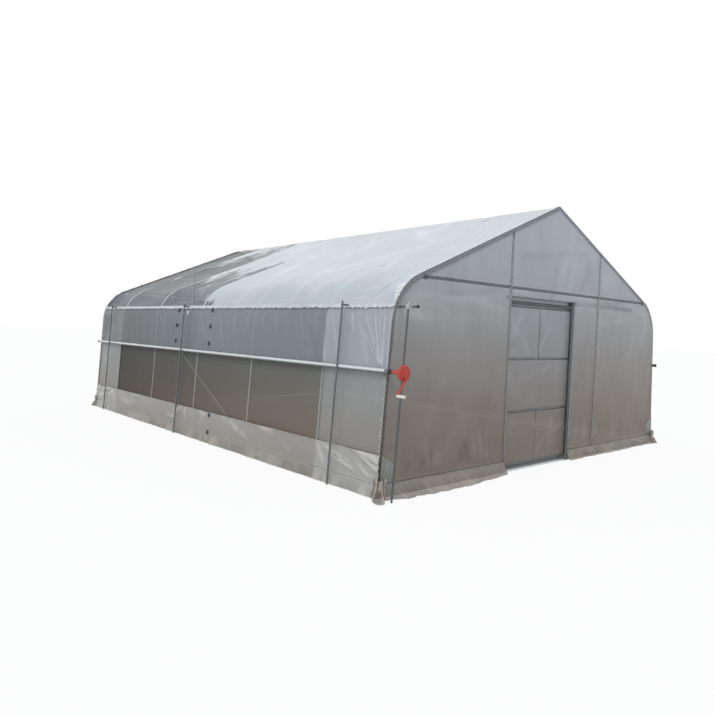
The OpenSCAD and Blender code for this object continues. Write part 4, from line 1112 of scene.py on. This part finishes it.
pipe_zinc = zinc("galvanised steel pipe, weathered", "#767c80", "#999fa3", 0.48, 0.012)
frame_zinc = zinc("galvanised steel tube, door frame", "#7c8286", "#9aa0a4", 0.42, 0.010)
rod_zinc = zinc("galvanised steel rod", "#6a6f72", "#888d90", 0.5, 0.009)
strip_zinc = zinc("galvanised steel strip, roll-formed", "#7b8185", "#979da1", 0.38, 0.007)
pole_zinc = zinc("galvanised steel pole, dulled", "#5a5e61", "#777c7f", 0.5, 0.010)
# The channels on the legs and the end bows are a darker copy of the strip finish: painted shade, as they lie
# on the shaded sides of the bows
shaded_strip_zinc = zinc("galvanised steel strip, darkened as painted shade", "#5c6265", "#7a8083", 0.45, 0.007)
finish_nodes(pipe_zinc, *(f"bow_{i}" for i in range(1, 8)), "ridge_purlin", "side_purlins",
             "left_eave_purlin", "right_eave_purlin", "wind_braces", "tie_bars", "front_posts", "rear_posts",
             "roll_tubes")
finish_nodes(frame_zinc, "door_frame", "door_jamb", "door_trolleys")
finish_nodes(rod_zinc, "hold_rods")
finish_nodes(pole_zinc, "guide_poles")
finish_nodes(strip_zinc, "eave_channels", "base_channels", "post_channels", "door_track")
finish_nodes(shaded_strip_zinc, "leg_channels", "front_bow_channel", "rear_bow_channel")

# %% Pole clamps
# The clamp that hangs a pole on its purlin is a newer, brighter part of the same node
CLAMP_Z = 1.85
shader = next(node for node in pole_zinc.node_tree.nodes if node.type == "BSDF_PRINCIPLED")
dulled = shader.inputs["Base Color"].links[0].from_socket
height = add(pole_zinc, "SeparateXYZ", {0: add(pole_zinc, "TexCoord", out="Object")}, "Z")
at_clamp = add(pole_zinc, "Math", {0: height, 1: CLAMP_Z}, operation="GREATER_THAN")
tones = add(pole_zinc, "Mix", {"Factor": at_clamp, 6: dulled, 7: linear("#b4b8ba")}, **COLOUR)
pole_zinc.node_tree.links.new(tones, shader.inputs["Base Color"])
print("poles turn brighter above", CLAMP_Z, "m")

# %% [markdown]
# ## Winch and crank
# The gearbox housings are cast and coated with red enamel paint, a little orange-peeled and chipped
# dark on the edges. The handles are moulded white nylon. Paint is a dielectric over metal, so it is not
# metallic, and a thin clear coat gives its sheen.

# %% Enamel and nylon
enamel = emptied(bpy.data.materials.new("red enamel paint on a cast housing"))
at = add(enamel, "TexCoord", out="Object")
wear = add(enamel, "NewGeometry", out="Pointiness")
dust = add(enamel, "TexNoise", {"Vector": at, "Scale": 30.0, "Detail": 5.0}, "Fac")
tone = add(enamel, "Mix", {"Factor": dust, 6: linear("#a82a1c"), 7: linear("#c9422f")}, **COLOUR)
edge = add(enamel, "MapRange", {"Value": wear, "From Min": 0.53, "From Max": 0.60})
chips = add(enamel, "Math", {0: edge, 1: dust}, operation="MULTIPLY")
worn = add(enamel, "Mix", {"Factor": chips, 6: tone, 7: linear("#8e3a2c")}, **COLOUR)
peel = add(enamel, "TexNoise", {"Vector": at, "Scale": 220.0, "Detail": 2.0}, "Fac")
bump = add(enamel, "Bump", {"Height": peel, "Strength": 0.12, "Distance": 0.0006})
shader = add(enamel, "BsdfPrincipled", {"Base Color": worn, "Roughness": 0.42, "Coat Weight": 0.25,
                                        "Coat Roughness": 0.2, "IOR": 1.5, "Normal": bump})
add(enamel, "OutputMaterial", {"Surface": shader})

nylon = emptied(bpy.data.materials.new("moulded white nylon"))
at = add(nylon, "TexCoord", out="Object")
grime = add(nylon, "TexNoise", {"Vector": at, "Scale": 45.0, "Detail": 4.0}, "Fac")
tone = add(nylon, "Mix", {"Factor": grime, 6: linear("#d5d4cd"), 7: linear("#ecebe5")}, **COLOUR)
shader = add(nylon, "BsdfPrincipled", {"Base Color": tone, "Roughness": 0.45, "IOR": 1.53})
add(nylon, "OutputMaterial", {"Surface": shader})
finish_nodes(enamel, "left_winch", "right_winch", "left_crank", "right_crank")
finish_nodes(nylon, "left_grip", "right_grip")

# %% [markdown]
# ## Zigzag wires
# What holds the film in its channels is a springy steel wire with a light PVC coat, bent in a zigzag
# and wobbled into the channel's mouth. It is 2 to 3 mm thick in life and 5 mm here, so that it shows.
# Hundreds of its waves run round the house, so its tube has only four sides, and it is built straight
# from its points instead of from a bevelled curve, which would round every corner and cost much more.

# %% PVC-coated wire
coated = emptied(bpy.data.materials.new("PVC-coated spring wire"))
at = add(coated, "TexCoord", out="Object")
soil = add(coated, "TexNoise", {"Vector": at, "Scale": 14.0, "Detail": 4.0}, "Fac")
tone = add(coated, "Mix", {"Factor": soil, 6: linear("#c4c4c0"), 7: linear("#eeefec")}, **COLOUR)
shader = add(coated, "BsdfPrincipled", {"Base Color": tone, "Roughness": 0.4, "IOR": 1.54})
add(coated, "OutputMaterial", {"Surface": shader})
print(coated.name, "has", len(coated.node_tree.nodes), "nodes")

# %% Wire as a mesh
# One wave's length, half its width, the wire's radius, and how far out of the pipe its middle lies
WAVE, SWING, WIRE_R, WIRE_OUT = 0.064, 0.0062, 0.0026, 0.0112
# The four corners of its section, as angles in radians
WIRE_CORNERS = (0.785, 2.356, 3.927, 5.498)


def zigzag(length):
    """Places along a channel and across its mouth at which the wire turns."""
    count = int((length - 0.02) / WAVE)
    steps = np.array((0.0, 0.28, 0.5, 0.78))
    along = 0.01 + (np.arange(count)[:, None] + steps).ravel() * WAVE
    return along, np.tile((-SWING, -SWING, SWING, SWING), count)


def wire_mesh(builder, centre, out_way):
    """Adds a four-sided tube along the points, one side of it facing out_way at each point."""
    ahead = np.gradient(centre, axis=0)
    ahead /= np.linalg.norm(ahead, axis=1)[:, None]
    across = np.cross(ahead, out_way)
    across /= np.linalg.norm(across, axis=1)[:, None]
    top = np.cross(across, ahead)
    rings = [[builder.verts.new(c + WIRE_R * (a * math.cos(k) + t * math.sin(k))) for k in WIRE_CORNERS]
             for c, a, t in zip(centre, across, top)]
    for first, second in zip(rings[:-1], rings[1:]):
        for k in range(4):
            builder.faces.new((first[k], first[(k + 1) % 4], second[(k + 1) % 4], second[k]))
    builder.faces.new(rings[0][::-1])
    builder.faces.new(rings[-1])


def wire_piece(name, runs):
    """One piece from runs of (centre points, outward directions)."""
    builder = bmesh.new()
    for centre, out_way in runs:
        wire_mesh(builder, centre, out_way)
    bmesh.ops.recalc_face_normals(builder, faces=builder.faces)
    mesh = bpy.data.meshes.new(name)
    builder.to_mesh(mesh)
    builder.free()
    piece = bpy.data.objects.new(name, mesh)
    bpy.context.scene.collection.objects.link(piece)
    mesh.materials.append(coated)
    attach(piece, "house")
    print(name, len(runs), "runs,", len(mesh.polygons), "faces")


print("a wave of wire is", WAVE * 1000, "mm long")

# %% Runs of wire
def lengthwise(s, side):
    """The wire of a channel that runs along the house, s up the line."""
    along, swing = zigzag(2 * END_BOW + 0.03)
    x, z, nx, nz = section(s + swing, WIRE_OUT)
    centre = np.stack((side * x, along - END_BOW - 0.015, z), -1)
    return centre, np.stack((side * nx, 0 * nx, nz), -1)


def crosswise(s0, s1, y, side):
    """The wire of a channel that lies on a bow, from s0 to s1 up the line."""
    along, swing = zigzag(s1 - s0)
    x, z, nx, nz = section(s0 + along, WIRE_OUT)
    return np.stack((side * x, y + swing, z), -1), np.stack((side * nx, 0 * nx, nz), -1)


def on_gable(start, end, face):
    """The wire of a channel on a gable, from start to end as (x, z)."""
    start, end = np.asarray(start, float), np.asarray(end, float)
    length = float(np.linalg.norm(end - start))
    way = (end - start) / length
    along, swing = zigzag(length)
    x = start[0] + way[0] * along - way[1] * swing
    z = start[1] + way[1] * along + way[0] * swing
    centre = np.stack((x, np.full_like(x, face * (GABLE_Y + WIRE_OUT)), z), -1)
    return centre, np.tile((0.0, float(face), 0.0), (len(x), 1))


def rafter_top(x):
    """Height of the upper side of a rafter at x."""
    return RIDGE - abs(x) * math.tan(SLOPE)


wire_piece("eave_wires", [lengthwise(EAVE_S, side) for side in (-1, 1)])
base_runs = [lengthwise(up_to(BASE_Z), side) for side in (-1, 1)]
base_runs += [on_gable((x0, BASE_Z), (x1, BASE_Z), face)
              for x0, x1, face in ((-2.97, -0.96, -1), (0.45, 2.97, -1), (-2.97, 2.97, 1))]
wire_piece("base_wires", base_runs)
posts = ((LEFT_POST, -1, rafter_top(0.99)), (RIGHT_POST, -1, rafter_top(1.11)), (JAMB_X, -1, 2.108),
         (-REAR_POST, 1, rafter_top(1.05)), (REAR_POST, 1, rafter_top(1.05)))
wire_piece("post_wires", [on_gable((x, 0.15), (x, top - 0.01), face) for x, face, top in posts])
legs = [(y, side) for y in (-END_BOW, -END_LEG, END_LEG, END_BOW) for side in (-1, 1)]
wire_piece("leg_wires", [crosswise(up_to(0.152), LEG - 0.005, y, side) for y, side in legs])
wire_piece("bow_wires", [crosswise(EAVE_S + 0.02, TOTAL - 0.012, y, side)
                         for y in (-END_BOW, END_BOW) for side in (-1, 1)])

# %% [markdown]
# ## Loose edges of the film
# The film is cut a few centimetres past its channels, and the spare edge stays outside the wire. It is
# crumpled by being pulled, and catches more light than the flat sheet. One edge runs along each eave,
# and one lies along each end bow, widest on the shoulder, where its pleats slant down to the eave.
# Narrow edges lie beside the channels on the legs, between the skirt and the curtain.

# %% Loose edge shapes
edge_finish = film("blown polythene film, loose edges", "#8f9191", "#d9dee1", 1.3, 2.2, 0.86, 0.86, 0.3)


def crumple(along, seed):
    """Uneven small pleats along an edge, between about -1 and 1."""
    rng = np.random.default_rng(seed)
    total = 0
    for height, length in ((0.45, 0.041), (0.4, 0.067), (0.3, 0.13), (0.2, 0.34)):
        shift = rng.uniform(0, 6)
        wander = 1.5 * np.sin(along * rng.uniform(2, 5))
        total = total + height * np.sin(along * 2 * math.pi / length + shift + wander)
    return total


def loose_edge(name, u, v, points, pleat):
    """One loose edge, brightest on its pleats."""
    grid = (u, v, points, 0, np.clip(pleat, 0, 1))
    edge = make_sheet(name, [grid], (points[0, 0, 0], 0, 1.2), edge_finish, "house", [])


def eave_edge(name, side):
    """The loose edge under an eave channel: over the channel's lip, then down and a little outward."""
    y, f = np.meshgrid(np.linspace(-3.962, 3.962, 620), np.linspace(0, 1, 7), indexing="ij")
    wide = 0.020 + 0.011 * crumple(y * 0.6, 200 + side)
    pleat = crumple(y, 202 + side)
    s = EAVE_S + 0.010 - np.interp(f, (0, 0.25, 0.4, 1), (0, 0.012, 0.020, 0.009))
    s = s - np.where(f > 0.4, (f - 0.4) / 0.6 * (0.020 + wide), 0)
    out = np.interp(f, (0, 0.25, 0.4, 0.7, 1), (0.0162, 0.0186, 0.0192, 0.021, 0.024))
    out = out + smooth(f, 0.1, 1) * 0.0055 * (1 + pleat)
    loose_edge(name, y, f * 0.06, placed(side, s, y, out), pleat)


def bow_edge(name, side, y0, inward, span, width, spare, seed):
    """A loose edge beside a channel that lies on a bow or a leg at y0, over a span up the line.

    spare is what it is wider on the shoulder, where its pleats slant down to the eave."""
    up_line = np.linspace(*span, round((span[1] - span[0]) / 0.011))
    s, f = np.meshgrid(up_line, np.linspace(0, 1, 8), indexing="ij")
    shoulder = spare * smooth(s, span[0], span[0] + 0.22) * (1 - smooth(s, LEG, LEG + ARC + 0.25))
    wide = (width + shoulder) * (1 + 0.35 * crumple(s * 0.7, seed))
    pleat = crumple(s * 0.8, seed + 4)
    away = 0.002 + np.interp(f, (0, 0.25, 0.4, 1), (0, 0.008, 0.012, 0.012)) + smooth(f, 0.4, 1.0) * wide
    out = np.interp(f, (0, 0.22, 0.36, 0.6, 1), (0.0062, 0.0150, 0.0170, 0.0150, 0.0100))
    out = out + smooth(f, 0.3, 1) * (0.0045 + 0.07 * shoulder) * (1.1 + pleat)
    points = placed(side, s - 0.9 * f * shoulder, y0 + inward * away, out)
    loose_edge(name, s, f * 0.08, points, pleat)


print("pleats reach", round(float(crumple(np.arange(0, 8, 0.01), 202).max()), 2))

# %% Loose edges
OVER_BOW, UP_LEG = (EAVE_S + 0.02, TOTAL - 0.01), (up_to(0.45), TUBE_S - 0.05)
for side, hand in SIDES:
    eave_edge(f"{hand}_eave_loose_edge", side)
    for end, where in ENDS:
        seed = 210 + side + 3 * end
        bow_edge(f"{where}_{hand}_bow_loose_edge", side, end * END_BOW, -end, OVER_BOW, 0.022, 0.060,
                 seed)
        bow_edge(f"{where}_{hand}_leg_loose_edge", side, end * END_BOW, -end, UP_LEG, 0.012, 0,
                 seed + 20)
        bow_edge(f"{where}_{hand}_net_loose_edge", side, end * END_LEG, end, UP_LEG, 0.005, 0,
                 seed + 30)

# %% [markdown]
# ## Small parts
# The small parts are modelled by hand-tool steps: a primitive is added, its faces are chosen by their
# place, inset and pushed out, and a Bevel modifier rounds the edges. Each kind is made once at the
# origin, and every copy gets its own mesh, moved to its place in the mesh itself.

# %% Plastic, rubber and bolt finishes
def plain_solid(name, dark, light, rough, scale, metal=0.0, ior=1.5):
    """A solid finish whose tone wanders a little; scale is how many patches a metre holds."""
    material = emptied(bpy.data.materials.new(name))
    at = add(material, "TexCoord", out="Object")
    cloud = add(material, "TexNoise", {"Vector": at, "Scale": scale, "Detail": 4.0}, "Fac")
    tone = add(material, "Mix", {"Factor": cloud, 6: linear(dark), 7: linear(light)}, **COLOUR)
    dull = add(material, "MapRange", {"Value": cloud, "To Min": rough - 0.1, "To Max": rough + 0.1})
    bump = add(material, "Bump", {"Height": cloud, "Strength": 0.1, "Distance": 0.0008})
    settings = {"Base Color": tone, "Roughness": dull, "Metallic": metal, "Normal": bump}
    if not metal:
        settings["IOR"] = ior
    add(material, "OutputMaterial", {"Surface": add(material, "BsdfPrincipled", settings)})
    return material


black_plastic = plain_solid("moulded black polypropylene", "#17181a", "#2e3033", 0.5, 60.0, ior=1.49)
bleached_plastic = plain_solid("moulded grey polypropylene, bleached by the sun", "#30363e", "#4b535d",
                               0.55, 60.0, ior=1.49)
black_rubber = plain_solid("moulded black rubber", "#141414", "#2a2a29", 0.7, 90.0, ior=1.52)
bolt_zinc = plain_solid("zinc-plated steel bolt", "#8f9396", "#b9bcbe", 0.35, 150.0, metal=1.0)
painted_bolt = plain_solid("steel bolt painted over with red enamel", "#8f2417", "#b03324", 0.45, 150.0)
white_plastic = plain_solid("moulded white polyethylene", "#d3d4d1", "#efefec", 0.45, 50.0, ior=1.51)
print("finishes in all:", len(bpy.data.materials))

# %% Hand tools
def start(primitive, **settings):
    """Adds one primitive alone at its true size, and returns it in edit mode with no face selected."""
    bpy.ops.object.select_all(action="DESELECT")
    primitive(**settings)
    bpy.ops.object.transform_apply(location=True, rotation=True, scale=True)
    bpy.ops.object.mode_set(mode="EDIT")
    bpy.ops.mesh.select_mode(type="FACE")
    bpy.ops.mesh.select_all(action="DESELECT")
    return bpy.context.object


def choose(piece, test):
    """Selects the faces whose centre and normal pass the test."""
    mesh = bmesh.from_edit_mesh(piece.data)
    for face in mesh.faces:
        face.select_set(bool(test(face.calc_center_median(), face.normal)))
    mesh.select_flush_mode()
    bmesh.update_edit_mesh(piece.data)


def push(inset, out, shrink=1.0):
    """Insets the chosen faces, then pushes them out along their normal."""
    if inset:
        bpy.ops.mesh.inset(thickness=inset, depth=0)
    bpy.ops.mesh.extrude_region_shrink_fatten(TRANSFORM_OT_shrink_fatten={"value": out})
    if shrink != 1.0:
        bpy.ops.transform.resize(value=(shrink, shrink, shrink))


def finished(piece, material, bevel, segments=2):
    """Leaves edit mode, rounds the edges and bakes everything into the mesh."""
    bpy.ops.object.mode_set(mode="OBJECT")
    rounding = piece.modifiers.new("rounding", "BEVEL")
    rounding.width, rounding.segments, rounding.limit_method = bevel, segments, "ANGLE"
    bpy.ops.object.modifier_apply(modifier="rounding")
    bpy.ops.object.shade_smooth_by_angle(angle=math.radians(35))
    piece.data.materials.clear()
    piece.data.materials.append(material)


print("edges are rounded where faces meet at more than 30 degrees")

# %% Copies and their places
def copies(pattern, name, places, keep=False):
    """One copy of the pattern, with its own mesh, at each 4x4 place; keep spares the pattern itself."""
    for i, matrix in enumerate(places, 1):
        copy = pattern.copy()
        copy.data = pattern.data.copy()
        copy.name = f"{name}_{i}"
        copy.data.transform(Matrix(np.asarray(matrix, float).tolist()))
        bpy.context.scene.collection.objects.link(copy)
        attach(copy, "house")
    print(name, len(places), "x", len(pattern.data.polygons), "faces")
    if not keep:
        bpy.data.objects.remove(pattern)


def place(x_way, y_way, z_way, at):
    """A 4x4 matrix that turns a pattern's own X, Y and Z to the three ways and moves it to a point."""
    matrix = np.eye(4)
    matrix[:3, 0], matrix[:3, 1], matrix[:3, 2], matrix[:3, 3] = x_way, y_way, z_way, at
    return matrix


def on_side(side, s, y, out):
    """Place on a side wall or the roof: X looks outward, Y along the house and Z up the line."""
    x, z, nx, nz = (float(v) for v in section(s, out))
    return place((side * nx, 0, nz), (0, side, 0), (-side * nz, 0, nx), (side * x, y, z))


def along_house(side, at):
    """Place of a turned part whose own Z looks forward on the left side, and backward on the right."""
    return place((0, 0, 1), (side, 0, 0), (0, side, 0), at)


print("a clip on the right side looks along", np.round(on_side(1, 1.0, 0, 0)[:3, 0], 2))

# %% [markdown]
# ## Film clips
# Dark moulded clips grip the curtain in two columns, between the first and the last hold rod. A clip
# is a block with a raised, narrower jaw and a thumb lever. It starts as a block 8 mm thick, and its jaw
# and lever bring it to 19 mm.

# %% Film clips
ON_CURTAIN, ON_SKIRT = 0.019, 0.0165
clip = start(bpy.ops.mesh.primitive_cube_add, size=1, location=(0.004, 0, 0), scale=(0.008, 0.034, 0.056))
choose(clip, lambda c, n: n.x > 0.9)
push(0.004, 0.005)
choose(clip, lambda c, n: n.x > 0.9 and c.x > 0.012)
push(0.006, 0.006, 0.8)
finished(clip, bleached_plastic, 0.0012)
clip_places = [on_side(side, up_to(z), -side * y, ON_CURTAIN)
               for side in (-1, 1) for y in (0.72, -0.34) for z in (1.84, 1.61, 1.37)]
clip_places += [on_side(side, up_to(z), -side * y, ON_SKIRT)
                for side in (-1, 1) for y, z in ((0.52, 0.385), (-0.52, 0.385), (-0.52, 0.15))]
copies(clip, "film_clip", clip_places, keep=True)
clip.data.materials[0] = white_plastic
clip_places = [on_side(side, up_to(1.80), -side * 0.39, ON_CURTAIN) for side in (-1, 1)]
copies(clip, "white_clip", clip_places)

# %% [markdown]
# ## Couplings and caps
# A black rubber coupling joins each winch to its roll tube and lets it turn a little out of line. A
# raised band runs round its middle. Plastic caps close the open ends of the tubes and of the eave
# purlins.

# %% Couplings
TUBE_X = float(section(TUBE_S, TUBE_OUT)[0])
BAND = 0.009
cylinder = bpy.ops.mesh.primitive_cylinder_add
sleeve = start(cylinder, vertices=40, radius=0.0215, depth=0.042, end_fill_type="NGON")
for cut in (BAND, -BAND):
    bpy.ops.mesh.select_all(action="SELECT")
    bpy.ops.mesh.bisect(plane_co=(0, 0, cut), plane_no=(0, 0, 1))
choose(sleeve, lambda c, n: abs(n.z) < 0.1 and abs(c.z) < 0.008)
push(0, 0.0022)
finished(sleeve, black_rubber, 0.0012)
sleeve_places = [along_house(side, (side * TUBE_X, side * 4.0325, TUBE_Z)) for side in (-1, 1)]
copies(sleeve, "winch_coupling", sleeve_places)

# %% Caps
purlin_low, purlin_high = (np.array(v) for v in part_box("left_eave_purlin"))
purlin_x, _, purlin_z = (purlin_low + purlin_high) / 2
cap = start(cylinder, vertices=32, radius=0.0142, depth=0.020, location=(0, 0, -0.004))
choose(cap, lambda c, n: n.z > 0.9)
push(0.0045, 0.0022)
finished(cap, black_plastic, 0.0011)
cap_places = [along_house(side, (-side * purlin_x, -side * purlin_low[1], purlin_z)) for side in (-1, 1)]
copies(cap, "purlin_cap", cap_places)
cap = start(cylinder, vertices=36, radius=0.0236, depth=0.022, location=(0, 0, -0.006))
choose(cap, lambda c, n: n.z > 0.9)
push(0.007, 0.0025)
finished(cap, black_plastic, 0.0012)
cap_places = [along_house(side, (-side * TUBE_X, side * 4.010, TUBE_Z)) for side in (-1, 1)]
copies(cap, "tube_cap", cap_places)

# %% [markdown]
# ## Purlin clamps
# Each purlin is held to each bow by a pressed collar with a hexagon bolt, and so is each end of a tie
# bar. They are seen from inside and faintly through the film, so a collar has only a few faces.

# %% Purlin clamps
RAIL_R, BESIDE_BOW = 0.0125, 0.031
collar = start(cylinder, vertices=20, radius=0.0152, depth=0.026)
choose(collar, lambda c, n: n.y > 0.95)
push(0.001, 0.006)
choose(collar, lambda c, n: abs(n.z) > 0.9)
bpy.ops.mesh.inset(thickness=0.0015, depth=0)
finished(collar, bolt_zinc, 0.0008, 1)
rails = []
for name in ("ridge_purlin", "side_purlins", "left_eave_purlin", "right_eave_purlin"):
    low, high = (np.array(v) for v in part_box(name))
    # One node holds both side purlins, and its box reaches from the one to the other
    both = high[0] - low[0] > 0.1
    places = (RAIL_R - high[0], high[0] - RAIL_R) if both else ((low[0] + high[0]) / 2,)
    rails += [(x, (low[2] + high[2]) / 2) for x in places]
clamps = []
for x, z in sorted(rails):
    outward = 1 if x >= 0 else -1
    for y in BOWS:
        clamp_y = y - BESIDE_BOW if y > 0 else y + BESIDE_BOW
        clamps.append(place((0, 0, 1), (outward, 0, 0), (0, outward, 0), (x, clamp_y, z)))
copies(collar, "purlin_clamp", clamps, keep=True)
tie_low, tie_high = (np.array(v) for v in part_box("tie_bars"))
tie_x, tie_y, tie_z = tie_high[0] - 0.035, tie_high[1] - RAIL_R, (tie_low[2] + tie_high[2]) / 2
copies(collar, "tie_clamp", [place((0, end, 0), (0, 0, -1), (-end, 0, 0), (side * tie_x, end * tie_y, tie_z))
                             for side in (-1, 1) for end in (-1, 1)])

# %% [markdown]
# ## Bolts of the winches
# Six hexagon bolts close the cover of each gear drum. A bolt is a low six-sided prism with a rounded top,
# and its washer is a second, flatter cylinder joined to it.

# %% Winch bolts
COVER_Y, BOLT_CIRCLE = 4.230, 0.0610
washer = start(cylinder, vertices=20, radius=0.0072, depth=0.0012, location=(0, 0, 0.0004))
bpy.ops.object.mode_set(mode="OBJECT")
bolt = start(cylinder, vertices=6, radius=0.0052, depth=0.0036, location=(0, 0, 0.0027))
choose(bolt, lambda c, n: n.z > 0.9)
push(0.0012, 0.0006)
bpy.ops.object.mode_set(mode="OBJECT")
washer.select_set(True)
bpy.ops.object.join()
bpy.ops.object.mode_set(mode="EDIT")
finished(bolt, painted_bolt, 0.0004, 1)
bolts = []
for side in (-1, 1):
    for angle in np.radians(60 * np.arange(6) + 15):
        x, z = side * TUBE_X + BOLT_CIRCLE * math.cos(angle), TUBE_Z + BOLT_CIRCLE * math.sin(angle)
        bolts.append(place((side, 0, 0), (0, 0, -1), (0, side, 0), (x, side * COVER_Y, z)))
copies(bolt, "winch_bolt", bolts)

# %% Finish
low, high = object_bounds()
print("visual box", [round(v, 3) for v in (*low, *high)])
